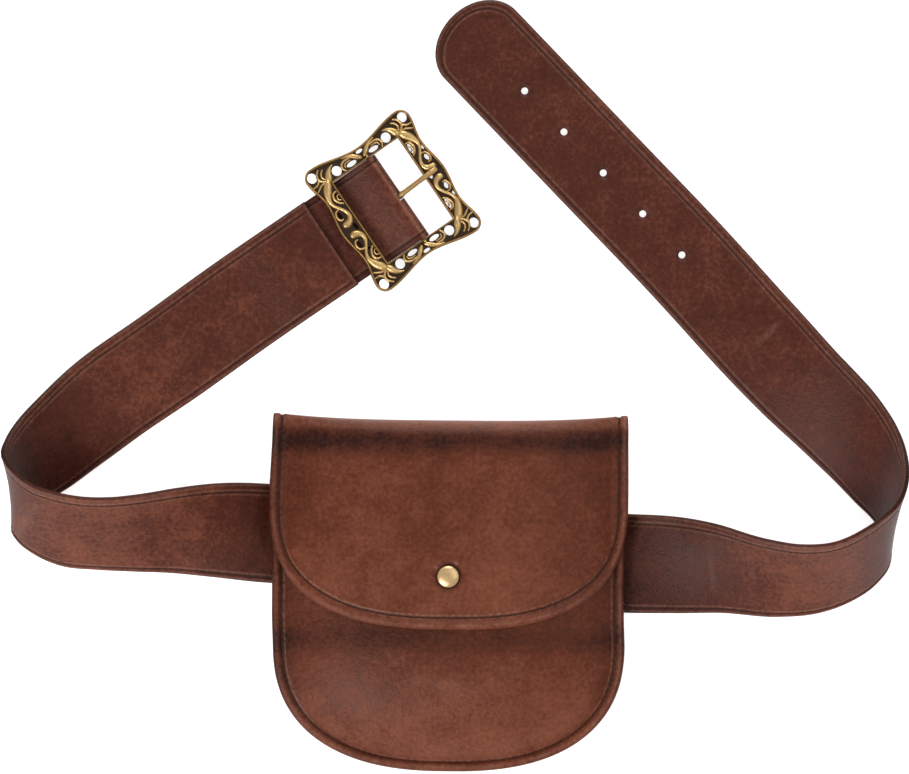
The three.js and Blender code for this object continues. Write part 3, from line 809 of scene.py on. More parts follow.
@dataclass
class Belt:
    """The belt strap: its course, its holes, its seams and its leather."""

    lay_width: float = 452
    lay_depth: float = 385
    tip_length: float = 20
    hole_count: int = 5
    hole_pitch: float = 28.4
    hole_radius: float = 1.75
    first_hole: float = 52
    hole_clear: float = 3.6
    loop_length: float = 100
    loop_row: int = 18
    tab_reach: float = 25
    row_step: float = 2.5
    low_margin: float = 2.8
    high_margin: float = 4.8
    groove_depth: float = 0.24
    groove_width: float = 0.42
    seam_start: float = 2.5
    stitch_pitch: float = 3.0
    thread: float = 0.5
    creases: tuple[Crease, ...] = (
        Crease((781.5, 45), (778.5, 16), 0.22, 0.7, 0.3),
        Crease((778.5, 16), (771, 12), 0.15, 0.7, 0.2),
        Crease((798, 45), (795, 37), 0.15, 0.7, 0.18),
        Crease((563.5, 44), (562, 12), 0.22, 1.0, 0.12),
        Crease((567.5, 40), (566, 14), 0.16, 0.8, 0.1),
        Crease((572, 43), (571, 10), 0.2, 0.9, 0.08),
        Crease((577, 41), (576, 18), 0.15, 0.8, 0.06),
        Crease((583.5, 42), (580.5, 9), 0.2, 1.0, 0.08),
        Crease((322, 8), (330, 40), 0.25, 2.0, 0.0),
        Crease((214, 4), (222, 36), 0.25, 1.8, 0.15),
    )

    def __post_init__(self) -> None:
        """Works out the distances of the course's rows and where the frame puts it."""
        self.table = {
            "x": np.array([row.x for row in BELT_ROWS]) * self.lay_width,
            "y": np.array([row.y for row in BELT_ROWS]) * self.lay_depth,
            "towards": np.radians([row.towards for row in BELT_ROWS]),
            "climb": np.radians([row.climb for row in BELT_ROWS]),
        }
        steps = np.hypot(np.diff(self.table["x"]), np.diff(self.table["y"]))
        self.knots = np.concatenate([[0], np.cumsum(steps)])
        self.length = float(self.knots[-1])
        self.shift = np.zeros(3)
        low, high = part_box("belt_strap")
        flat, _ = even_steps(self.outline(), 0.5)
        middle, normal = self.place(flat)
        faces = np.vstack([middle + normal * STRAP_THICK / 2, middle - normal * STRAP_THICK / 2])
        own = (faces.min(0) + faces.max(0)) / 2
        packed = (np.array(low) + np.array(high)) / 2 / MM
        self.shift[:2] = (packed - own)[:2]

    def column(self, name: str, distance: np.ndarray) -> np.ndarray:
        """A smooth curve through one column of the course's rows.

        Args:
            name: the column.
            distance: distances from the buckle end.

        Returns:
            The column's value at each distance.
        """
        value, knots = self.table[name], self.knots
        rate = np.diff(value) / np.diff(knots)
        span = np.diff(knots)
        slope = np.empty(len(value))
        slope[0], slope[-1] = rate[0], rate[-1]
        slope[1:-1] = (rate[:-1] * span[1:] + rate[1:] * span[:-1]) / (span[1:] + span[:-1])
        i = np.clip(np.searchsorted(knots, distance, "right") - 1, 0, len(span) - 1)
        t = (distance - knots[i]) / span[i]
        keep = (1 + 2 * t) * (1 - t) ** 2
        leave = t * (1 - t) ** 2 * span[i]
        arrive = t * t * (t - 1) * span[i]
        return value[i] * keep + value[i + 1] * (1 - keep) + slope[i] * leave + slope[i + 1] * arrive

    def surface(self, flat: np.ndarray) -> np.ndarray:
        """Points of the middle surface.

        Args:
            flat: (n, 2) distances from the buckle end, and places across from -24.75 to 24.75.

        Returns:
            (n, 3) points.
        """
        distance, across = flat[:, 0], flat[:, 1]
        towards = self.column("towards", distance)
        climb = np.maximum(self.column("climb", distance), 0)
        to_loop = np.abs(distance - self.knots[self.loop_row]) - self.loop_length / 2
        tab_rise = 2 * TAB_THICK + 2 * GAP
        rise = LOOP_RISE * (1 - smooth((to_loop - WALL) / self.tab_reach))
        rise = rise + tab_rise * (1 - smooth((distance - self.tab_reach - WALL) / self.tab_reach))
        level = np.cos(climb) * across
        height = STRAP_THICK / 2 + rise + np.sin(climb) * (across + STRAP_WIDTH / 2)
        x = self.column("x", distance) + np.cos(towards) * level
        y = self.column("y", distance) + np.sin(towards) * level
        return np.stack([x, y, height], 1) + self.shift

    def place(self, flat: np.ndarray) -> tuple[np.ndarray, np.ndarray]:
        """Finds points of the middle surface.

        Args:
            flat: (n, 2) distances from the buckle end, and places across.

        Returns:
            The points and their unit normals.
        """
        step = 0.2
        ahead = self.surface(flat + [step, 0]) - self.surface(flat - [step, 0])
        beside = self.surface(flat + [0, step]) - self.surface(flat - [0, step])
        normal = np.cross(ahead, beside)
        return self.surface(flat), normal / np.linalg.norm(normal, axis=1, keepdims=True)

    def outline(self) -> np.ndarray:
        """Draws the flat outline.

        Returns:
            Its corners along the low edge, round the tip and back along the high edge.
        """
        half = STRAP_WIDTH / 2
        straight = self.length - self.tip_length
        turn = np.linspace(-math.pi / 2, math.pi / 2, 60)
        tip = np.stack([straight + self.tip_length * np.cos(turn), half * np.sin(turn)], 1)
        return np.vstack([[0, -half], tip, [0, half]])

    def seam(self) -> np.ndarray:
        """Draws the seam inside the outline.

        Returns:
            Its flat corners.
        """
        half = STRAP_WIDTH / 2
        straight = self.length - self.tip_length
        low, high = half - self.low_margin, half - self.high_margin
        turn = np.linspace(-math.pi / 2, math.pi / 2, 40)
        across = np.where(turn < 0, low, high)
        reach = self.tip_length - (self.low_margin + self.high_margin) / 2
        tip = np.stack([straight + reach * np.cos(turn), across * np.sin(turn)], 1)
        return np.vstack([[self.seam_start, -low], tip, [self.seam_start, high]])

    def holes(self) -> list[float]:
        """The holes' distances from the buckle end."""
        return [self.length - self.first_hole - i * self.hole_pitch for i in range(self.hole_count)]

    def grid(self) -> tuple[np.ndarray, np.ndarray]:
        """The flat grid with its holes cut.

        Returns:
            (rows, columns, 2) flat points and the cells to keep.
        """
        half = STRAP_WIDTH / 2
        edge = [0, 0.06, 0.2, 0.42, 0.7, 1, 1.3, 1.7, 2.1, 2.45, 2.8, 3.15, 3.5, 4, 4.4, 4.8, 5.2, 5.6]
        block = [-2.5, -1.25, 0, 1.25, 2.5]
        inside = np.linspace(6.8, half - 3.7, 13)
        low = np.concatenate([edge, inside]) - half
        across = np.concatenate([low, block, -low[::-1]])
        straight = self.length - self.tip_length
        holes = self.holes()
        even = np.arange(0, straight, self.row_step)
        rows = [x for x in even if all(abs(x - hole) > self.hole_clear for hole in holes)]
        rows = np.array([0.06, 0.2, 0.42, 0.7, 1.2, *rows, *(h + b for h in holes for b in block)])
        turn = np.radians(np.linspace(0, 88.5, 50))
        rows = np.concatenate([np.sort(rows), straight + self.tip_length * np.sin(turn)])
        share = np.concatenate([np.ones(len(rows) - len(turn)), np.cos(turn)])
        flat = np.stack(np.broadcast_arrays(rows[:, None], across[None] * share[:, None]), -1).copy()
        keep = np.ones((len(rows) - 1, len(across) - 1), bool)
        first = len(low)
        for hole in holes:
            i = int(np.argmin(np.abs(rows - (hole + block[0]))))
            patch = flat[i : i + 5, first : first + 5]
            ring = np.ones((5, 5), bool)
            ring[1:-1, 1:-1] = False
            offset = patch[ring] - [hole, 0]
            offset *= self.hole_radius / np.linalg.norm(offset, axis=1, keepdims=True)
            patch[ring] = offset + [hole, 0]
            keep[i : i + 4, first : first + 4] = False
        return flat, keep

    def strap(self) -> Shape:
        """Shapes the strap's leather.

        Returns:
            The strap with its rounded edges, grooves, creases and holes.
        """
        flat, keep = self.grid()
        spots = flat.reshape(-1, 2)
        middle, normal = self.place(spots)
        edge = distance_to(spots, np.vstack([self.outline(), [0, -STRAP_WIDTH / 2]]))
        seam = distance_to(spots, self.seam())
        half = STRAP_THICK / 2
        round_off = np.sqrt(np.clip(1 - (1 - np.minimum(edge / half, 1)) ** 2, 0.001, 1))
        groove = bell(seam, self.groove_width)
        rim = bell(edge - 1.7, 0.9)
        stand = half * round_off - self.groove_depth * groove + 0.1 * rim
        # Painted shade and light along the belt's length, painted highlights beside the edge, inside the
        # seam and along the creases, and a dark ring with a painted highlight on its rim at each hole
        marks = [row.at for row in BELT_SHADING]
        tone = np.interp(spots[:, 0] / self.length, marks, [row.tone for row in BELT_SHADING])
        inner = edge > min(self.low_margin, self.high_margin)
        rub = 0.3 * bell(edge - 1.0, 0.5) + 0.34 * bell(seam - 1.1, 0.45) * inner
        dent = np.zeros(len(spots))
        for crease in self.creases:
            start, end = (np.array(p) - [0, STRAP_WIDTH / 2] for p in (crease.start, crease.end))
            near = bell(distance_to(spots, np.stack([start, end])), crease.width)
            dent += crease.depth * near
            rub += crease.rub * near
        for hole in self.holes():
            to_hole = np.linalg.norm(spots - [hole, 0], axis=1)
            rub += 0.4 * bell(to_hole - self.hole_radius - 0.6, 0.5)
            tone = tone - 0.4 * bell(to_hole - self.hole_radius, 0.7)
        shape = flat.shape[:2]
        values = {
            "tone": (tone - 0.55 * bell(edge, 0.9)).reshape(shape),
            "rub": rub.reshape(shape),
            "groove": groove.reshape(shape),
        }
        above, below = (stand - dent).reshape(shape), (stand + dent).reshape(shape)
        return shell(middle.reshape(*shape, 3), normal.reshape(*shape, 3), above, below, keep, values)

    def thread_shape(self) -> Shape:
        """Sews the strap.

        Returns:
            The stitches on both faces.
        """
        stand = STRAP_THICK / 2 - self.groove_depth
        front, back = (
            stitches(self.place, self.seam(), face, stand, self.stitch_pitch, self.thread) for face in Face
        )
        return front.joined(back)

    def build(self, leather: bpy.types.Material, thread: bpy.types.Material) -> None:
        """Makes the strap and its stitches and lets them ride on the leather body.

        Args:
            leather: the strap's finish.
            thread: the stitches' finish.
        """
        strap = self.strap().to_object("belt_strap_leather", leather)
        put(strap, "leather", "belt_leather", ("belt_strap",))
        seam = self.thread_shape().to_object("belt_strap_stitches", thread)
        put(seam, "leather", "belt_leather")


# The pouch


@dataclass
class Pouch:
    """The pouch: front, back panel with its flap, and snap stud."""

    width: float = 176
    height: float = 178
    bulge: float = 19
    mouth_bulge: float = 0.8
    turn: float = -0.5
    lean: float = 0.6
    lean_full: float = 45
    lean_end: float = 98
    lean_fade: float = 20
    rim: float = 7
    body_round: float = 65.5
    body_power: float = 2.45
    mouth_drop: float = 15
    flap_width: float = 179.5
    flap_length: float = 107
    flap_round: float = 64.5
    flap_power: float = 2.6
    flap_stand: float = 1.15
    flap_lift: float = 2.8
    flap_taper: float = 0.9
    fold_depth: float = 12
    fold_sag: float = 2.4
    fold_girth: float = 30
    pillow_power: float = 3.2
    stud_radius: float = 5.7
    stud_height: float = 2.4
    stud_edge: float = 0.6
    stud_drop: float = 80.4
    seam_margin: float = 5.0
    border: float = 2.1
    groove_depth: float = 0.45
    groove_width: float = 0.5
    stitch_pitch: float = 2.9
    thread: float = 0.5
    post_radius: float = 1.5
    socket_radius: float = 4.4
    panel_columns: int = 121
    creases: tuple[Crease, ...] = (
        Crease((-31, -117), (-28, -124.5), 0.2, 0.8, 0.14),
        Crease((-28, -124.5), (-22.5, -120), 0.2, 0.8, 0.14),
        Crease((-44, -121), (-36, -123), 0.15, 0.8, 0.07),
        Crease((70, -150), (74, -160), 0.6, 4.0, 0.0),
        Crease((-20, -132), (6, -137), 0.2, 3.0, 0.1),
        Crease((20, -125), (42, -130), 0.2, 2.5, 0.05),
    )

    def __post_init__(self) -> None:
        """Finds the pouch's place from the stud's box in the frame."""
        low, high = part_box("snap_stud")
        stud = (np.array(low) + np.array(high)) / 2 / MM
        angle = math.radians(self.turn)
        self.turned = np.array([[math.cos(angle), -math.sin(angle)], [math.sin(angle), math.cos(angle)]])
        self.top = stud[:2] - self.turned @ [0, -self.stud_drop]

    def world(self, x: np.ndarray, y: np.ndarray, z: np.ndarray) -> np.ndarray:
        """Places points of the pouch, where the leather leans a little to the left.

        Args:
            x: places across the pouch.
            y: heights, negative below its top.
            z: heights above the surface that it lies on.

        Returns:
            (n, 3) points in the part's frame.
        """
        fade = smooth((-y - self.lean_end) / self.lean_fade)
        lean = self.lean * smooth(-y / self.lean_full) * (1 - fade)
        flat = np.stack([x - lean, y], -1) @ self.turned.T + self.top
        return np.concatenate([flat, z[..., None]], -1)

    def body_half(self, y: np.ndarray) -> np.ndarray:
        """The body's half width at heights y."""
        below = np.maximum(self.body_round - self.height - y, 0) / self.body_round
        return (self.width / 2) * np.maximum(1 - below**self.body_power, 0) ** (1 / self.body_power)

    def flap_half(self, y: np.ndarray) -> np.ndarray:
        """Measures the flap.

        Args:
            y: heights, negative below the pouch's top.

        Returns:
            Its half width at each height.
        """
        below = np.maximum(self.flap_round - self.flap_length - y, 0) / self.flap_round
        flare = self.flap_taper * (1 - smooth(-y / (self.flap_length - self.flap_round)))
        full = np.maximum(1 - below**self.flap_power, 0) ** (1 / self.flap_power)
        return (self.flap_width / 2 - flare) * full

    def pillow(self, x: np.ndarray, y: np.ndarray) -> np.ndarray:
        """Measures the front's pillow form.

        Args:
            x: places across.
            y: heights.

        Returns:
            0 at the rim to 1 in the middle.
        """
        below = np.maximum(self.body_round - self.height - y, 0) / self.body_round
        beside = np.abs(x) / (self.width / 2)
        share = (beside**self.body_power + below**self.body_power) ** (1 / self.body_power)
        inner = 1 - self.rim / (self.width / 2)
        return 1 - np.minimum(share / inner, 1) ** self.pillow_power

    def back_level(self, y: np.ndarray) -> np.ndarray:
        """How high the back panel's middle surface lies."""
        settle = smooth((self.body_round - self.height - y) / self.body_round)
        return BACK_HEIGHT + WALL / 2 - (BACK_HEIGHT - GAP) * settle

    def front_level(self, x: np.ndarray, y: np.ndarray) -> np.ndarray:
        """Measures how high the front lies.

        Args:
            x: places across.
            y: heights.

        Returns:
            The height of its middle surface at each place.
        """
        ease = smooth(-y / (self.height - self.body_round))
        full = self.bulge * (self.mouth_bulge + (1 - self.mouth_bulge) * ease)
        return self.back_level(y) + WALL + GAP + full * self.pillow(x, y)

    def flap_level(self, x: np.ndarray, y: np.ndarray) -> np.ndarray:
        """How high the flap's middle surface lies."""
        lift = GAP + self.flap_lift * smooth(-y / self.stud_drop)
        return self.front_level(x, y) + WALL * self.flap_stand + lift

    def front_surface(self, flat: np.ndarray) -> np.ndarray:
        """The front's middle surface at flat points."""
        x, y = flat[:, 0], flat[:, 1]
        return self.world(x, y, self.front_level(x, y))

    def flap_surface(self, flat: np.ndarray) -> np.ndarray:
        """The middle surface of the flap, the fold and the back panel.

        Args:
            flat: (n, 2) points; the second number is the height below the fold on the flap, runs
                through the fold's girth above that, and then down the back.

        Returns:
            (n, 3) points.
        """
        x, v = flat[:, 0], flat[:, 1]
        start = -self.fold_depth
        past = v - start
        share = np.clip(past / self.fold_girth, 0, 1)
        down = np.where(past > self.fold_girth, start - (past - self.fold_girth), start)
        level = np.full_like(x, start)
        low, high = self.back_level(level), self.flap_level(x, level)
        angle = math.pi * (0.5 - share)
        reach = self.fold_depth - WALL / 2 - self.fold_sag * self.pillow(x, level)
        fold_y = start + reach * np.cos(angle)
        fold_z = (low + high) / 2 + (high - low) / 2 * np.sin(angle)
        on_flap, on_back = past <= 0, past >= self.fold_girth
        y = np.where(on_flap, v, np.where(on_back, down, fold_y))
        z = np.where(on_flap, self.flap_level(x, np.minimum(v, start)), fold_z)
        z = np.where(on_back, self.back_level(down), z)
        return self.world(x, y, z)

    def placed(self, surface: Surface, flat: np.ndarray) -> tuple[np.ndarray, np.ndarray]:
        """Finds points of a surface.

        Args:
            surface: turns flat points into points of a middle surface.
            flat: (n, 2) flat points.

        Returns:
            The points and their unit normals, which point up on the front and the flap.
        """
        step = 0.25
        ahead = surface(flat - [0, step]) - surface(flat + [0, step])
        beside = surface(flat + [step, 0]) - surface(flat - [step, 0])
        normal = np.cross(ahead, beside)
        return surface(flat), normal / np.maximum(np.linalg.norm(normal, axis=1, keepdims=True), 1e-9)

    def outline(self, half: HalfWidth, top: float, bottom: float) -> np.ndarray:
        """Draws a panel's flat outline.

        Args:
            half: gives the panel's half width at heights.
            top: where the outline starts.
            bottom: the panel's lowest height.

        Returns:
            Its corners down the left side, round the bottom and up the right side.
        """
        turn = np.radians(np.linspace(0, 90, 140))
        y = top + (bottom - top) * np.sin(turn)
        left = np.stack([-half(y), y], 1)
        left[-1, 0] = 0
        return np.vstack([left, (left * [-1, 1])[-2::-1]])

    def leather_of(
        self, spots: np.ndarray, edge: np.ndarray, seam: np.ndarray, tone: np.ndarray
    ) -> tuple[np.ndarray, np.ndarray, dict[str, np.ndarray]]:
        """The relief and paint of a bordered leather panel.

        Args:
            spots: (n, 2) flat points.
            edge: their distances from the outline.
            seam: their distances from the seam.
            tone: how pale the leather is there.

        Returns:
            The front's and the back's distance from the middle surface, and the painted values.
        """
        half = WALL / 2
        round_off = np.sqrt(np.clip(1 - (1 - np.minimum(edge / (half * 1.3), 1)) ** 2, 0.001, 1))
        roll = np.sqrt(np.clip(1 - ((edge - self.border) / self.border) ** 2, 0, 1))
        groove = bell(seam, self.groove_width)
        shoulder = bell(seam - 1.8, 0.9) * (edge > self.seam_margin)
        x, y = spots[:, 0], spots[:, 1]
        low = 0.25 + 0.75 * smooth((-y - 50) / 30)
        dotted = 0.55 + 0.45 * np.sin(2 * math.pi * (x - y) / (self.stitch_pitch * 1.25))
        wander = np.sin(x * 0.31 + 1.3 * np.sin(y * 0.13)) * 0.5 + 0.5
        above = half * round_off + 0.75 * roll - self.groove_depth * groove + 0.28 * shoulder
        # Dark edges; painted shade along the seam; painted highlights on the rolled border and, dotted,
        # inside the seam on the panel's lower part
        values = {
            "tone": tone - 0.35 * bell(edge, 1.0) - 0.25 * bell(seam, 2.2),
            "rub": 0.3 * bell(edge - self.border, 0.8) * (0.4 + 0.6 * wander)
            + 0.7 * bell(seam - 1.15, 0.45) * (edge > self.seam_margin) * low * dotted,
            "groove": groove,
        }
        return above, half * round_off, values

    def panel(
        self, surface: Surface, flat: np.ndarray, above: np.ndarray, below: np.ndarray, values: dict
    ) -> Shape:
        """Makes a closed panel over a grid of flat points.

        Args:
            surface: turns flat points into points of the panel's middle surface.
            flat: (rows, columns, 2) flat points.
            above: how far the front face stands off the middle surface at each.
            below: how far the back face stands off it.
            values: painted values at each.

        Returns:
            The panel.
        """
        shape = flat.shape[:2]
        middle, normal = (found.reshape(*shape, 3) for found in self.placed(surface, flat.reshape(-1, 2)))
        painted = {name: numbers.reshape(shape) for name, numbers in values.items()}
        return shell(middle, normal, above.reshape(shape), below.reshape(shape), None, painted)

    def spread(self, half: np.ndarray, y: np.ndarray) -> np.ndarray:
        """Lays a grid over a panel, with columns crowded towards its edges.

        Args:
            half: the panel's half width in each row.
            y: each row's height.

        Returns:
            (rows, columns, 2) flat points.
        """
        even = np.linspace(-1, 1, self.panel_columns)
        columns = np.sin(even * math.pi / 2) * 0.85 + even * 0.15
        return np.stack(np.broadcast_arrays(half[:, None] * columns[None], y[:, None]), -1)

    def front(self) -> tuple[Shape, np.ndarray]:
        """Shapes the front.

        Returns:
            The front and its seam's flat corners.
        """
        outline = self.outline(self.body_half, -self.mouth_drop, -self.height)
        seam_line = inset_line(outline, self.seam_margin)[4:-4]
        turn = np.radians(np.linspace(0, 88.6, 110))
        y = -self.mouth_drop + (self.mouth_drop - self.height) * np.sin(turn)
        flat = self.spread(self.body_half(y), y)
        spots = flat.reshape(-1, 2)
        edge, seam = distance_to(spots, outline), distance_to(spots, seam_line)
        x, down = spots[:, 0], spots[:, 1]
        # Painted light towards the bottom, a painted shadow under the flap's edge and painted shade towards
        # both sides
        tone = 0.12 + 0.3 * smooth((-down - 120) / 50) - 0.5 * bell(down + 112, 7)
        tone -= 0.35 * smooth((np.abs(x) - 62) / 24)
        above, below, values = self.leather_of(spots, edge, seam, tone)
        # Each crease is pressed in, with a painted highlight along it
        for crease in self.creases:
            near = bell(distance_to(spots, np.array([crease.start, crease.end])), crease.width)
            above = above - crease.depth * near
            values["rub"] = values["rub"] + crease.rub * near
        return self.panel(self.front_surface, flat, above, below, values), seam_line

    def sheet_half(self, v: np.ndarray) -> np.ndarray:
        """Measures the sheet that is the flap, the fold and the back.

        Args:
            v: flat heights along the sheet.

        Returns:
            Its half width at each.
        """
        past = v + self.fold_depth
        share = smooth(past / self.fold_girth)
        start = np.full_like(v, -self.fold_depth)
        fold = self.flap_half(start) * (1 - share) + self.width / 2 * share
        back = self.body_half(-self.fold_depth - (past - self.fold_girth))
        return np.where(past <= 0, self.flap_half(v), np.where(past >= self.fold_girth, back, fold))

    def flap(self) -> tuple[Shape, np.ndarray]:
        """Shapes the back panel, the fold and the flap in one sheet.

        Returns:
            The sheet and the flap's seam.
        """
        outline = self.outline(self.flap_half, -self.fold_depth, -self.flap_length)
        low = smooth((-outline[:, 1] - 60) / 40)
        seam_line = inset_line(outline, self.seam_margin - 0.2 + 1.2 * low)
        over = self.fold_girth * 0.75 - self.fold_depth
        outline = np.vstack([[outline[0][0], over], outline, [outline[-1][0], over]])
        seam_line = np.vstack([[seam_line[0][0], over], seam_line, [seam_line[-1][0], over]])
        flap_turn = np.radians(np.linspace(88.6, 0, 110))
        flap_rows = -self.fold_depth + (self.fold_depth - self.flap_length) * np.sin(flap_turn)
        fold_rows = np.linspace(0, self.fold_girth, 30)[1:-1] - self.fold_depth
        back_turn = np.radians(np.linspace(0, 88.6, 40))
        back_rows = self.fold_girth - self.fold_depth + (self.height - self.fold_depth) * np.sin(back_turn)
        v = np.concatenate([flap_rows, fold_rows, back_rows])[::-1]
        flat = self.spread(self.sheet_half(v), v)
        spots = flat.reshape(-1, 2)
        x, down = spots[:, 0], spots[:, 1]
        on_flap = down <= over
        back_edge = self.sheet_half(down) - np.abs(x)
        bottom = self.fold_girth - self.fold_depth + self.height - self.fold_depth - down
        back_edge = np.minimum(back_edge, np.maximum(bottom, 0))
        edge = np.where(on_flap, distance_to(spots, outline), back_edge)
        seam = np.where(on_flap, distance_to(spots, seam_line), 99.0)
        # A painted highlight on the roll over the fold, a band of painted shade below it, painted light
        # towards the edge and painted shade to both sides
        roll_over = smooth((down + 8.5) / 4) * (1 - smooth((down - 4) / 5))
        tone = 0.1 - 0.85 * bell(down + 13, 6) + 0.35 * roll_over + 0.3 * smooth((-down - 45) / 50)
        tone -= 0.3 * smooth((x - 30) / 50) + 0.12 * smooth((-x - 50) / 35)
        tone = np.where(on_flap, tone, -0.2)
        above, below, values = self.leather_of(spots, edge, seam, tone)
        # The leather is pressed in round the stud, with painted shade in the pressed ring and two painted
        # highlights (glints) on it; the roll over the fold gets a painted highlight too
        to_stud = np.linalg.norm(spots + [0, self.stud_drop], axis=1)
        above = above - 0.35 * bell(to_stud - self.stud_radius, 1.6) + 0.2 * bell(to_stud - 9, 2.0)
        values["tone"] = values["tone"] - 0.5 * bell(to_stud - self.stud_radius, 1.2)
        values["rub"] = values["rub"] + 0.12 * roll_over
        way = np.degrees(np.arctan2(down + self.stud_drop, x))
        glints = bell(way - 136, 17) + bell(way - 58, 15)
        values["rub"] = values["rub"] + 0.55 * glints * bell(to_stud - self.stud_radius - 2.1, 0.7)
        above = np.where(on_flap, above, np.minimum(above, WALL / 2))
        return self.panel(self.flap_surface, flat, above, below, values), seam_line

    def stud(self) -> Shape:
        """Turns the snap stud.

        Returns:
            The domed cap with its rolled foot, the post and the socket.
        """
        top = WALL / 2 + 0.1
        turn = np.radians(np.linspace(90, 0, 16))
        dome = self.stud_height + 0.2 - self.stud_edge
        cap = [(self.stud_radius * math.cos(t), top + self.stud_edge + dome * math.sin(t)) for t in turn]
        profile = [*cap, (self.stud_radius + 0.25, top + 0.35), (self.stud_radius, top)]
        under, low = -WALL / 2 - 0.2, -WALL / 2 - 1.7
        profile += [(self.post_radius, top), (self.post_radius, under)]
        profile += [(self.socket_radius, under), (self.socket_radius, low), (0.0, low)]
        sides = 48
        angles = np.arange(sides) * 2 * math.pi / sides
        centre = np.array([0.0, -self.stud_drop])
        level = self.flap_level(centre[:1], centre[1:])[0]
        points, crest = [], []
        for radius, z in profile:
            x, y = np.cos(angles) * radius, centre[1] + np.sin(angles) * radius
            points.append(self.world(x, y, np.full(sides, level + z)))
            # Only the dome is bright; the rolled foot gets painted shade where it sits in the pressed
            # leather, and the hidden post and socket are dark too
            crest.append(np.full(sides, 0.9 if radius < self.stud_radius - 0.3 and z > top else -0.6))
        return Shape(np.vstack(points), tube_faces(len(profile), sides), {"crest": np.concatenate(crest)})

    def build(
        self, leather: bpy.types.Material, thread: bpy.types.Material, brass: bpy.types.Material
    ) -> None:
        """Makes the pouch's pieces and lets them ride on the leather body.

        Args:
            leather: the panels' finish.
            thread: the stitches' finish.
            brass: the stud's finish.
        """
        front, front_seam = self.front()
        flap, flap_seam = self.flap()
        stand = WALL / 2 - self.groove_depth + 0.1
        rows = [
            (front, "pouch_front_leather", "pouch_front", leather, "pouch_leather"),
            (flap, "pouch_back_and_flap_leather", "pouch_back_and_flap", leather, "pouch_leather"),
            (self.stud(), "snap_stud_cap", "snap_stud", brass, "stud_brass"),
        ]
        for shape, name, node, material, slot in rows:
            put(shape.to_object(name, material), "leather", slot, (node,))
        seams = [
            ("pouch_front_stitches", self.front_surface, front_seam),
            ("flap_stitches", self.flap_surface, flap_seam),
        ]
        for name, surface, line in seams:
            place = partial(self.placed, surface)
            row = stitches(place, line, Face.FRONT, stand, self.stitch_pitch, self.thread)
            put(row.to_object(name, thread), "leather", "pouch_leather")


# The buckle


@dataclass(frozen=True)
class Opening:
    """A gap through one quarter of the buckle's openwork, measured from the window's middle."""

    x: float
    y: float
    half_x: float
    half_y: float
    slant: float = 0.0


@dataclass(frozen=True)
class Scroll:
    """A raised scroll of one quarter: rows of x, y and half width, and its height."""

    rows: tuple[tuple[float, float, float], ...]
    height: float


@dataclass(frozen=True)
class ProngRow:
    """One section of the prong's shaft, in shares of its length, resting height, width and thickness."""

    along: float
    rise: float
    width: float
    thick: float


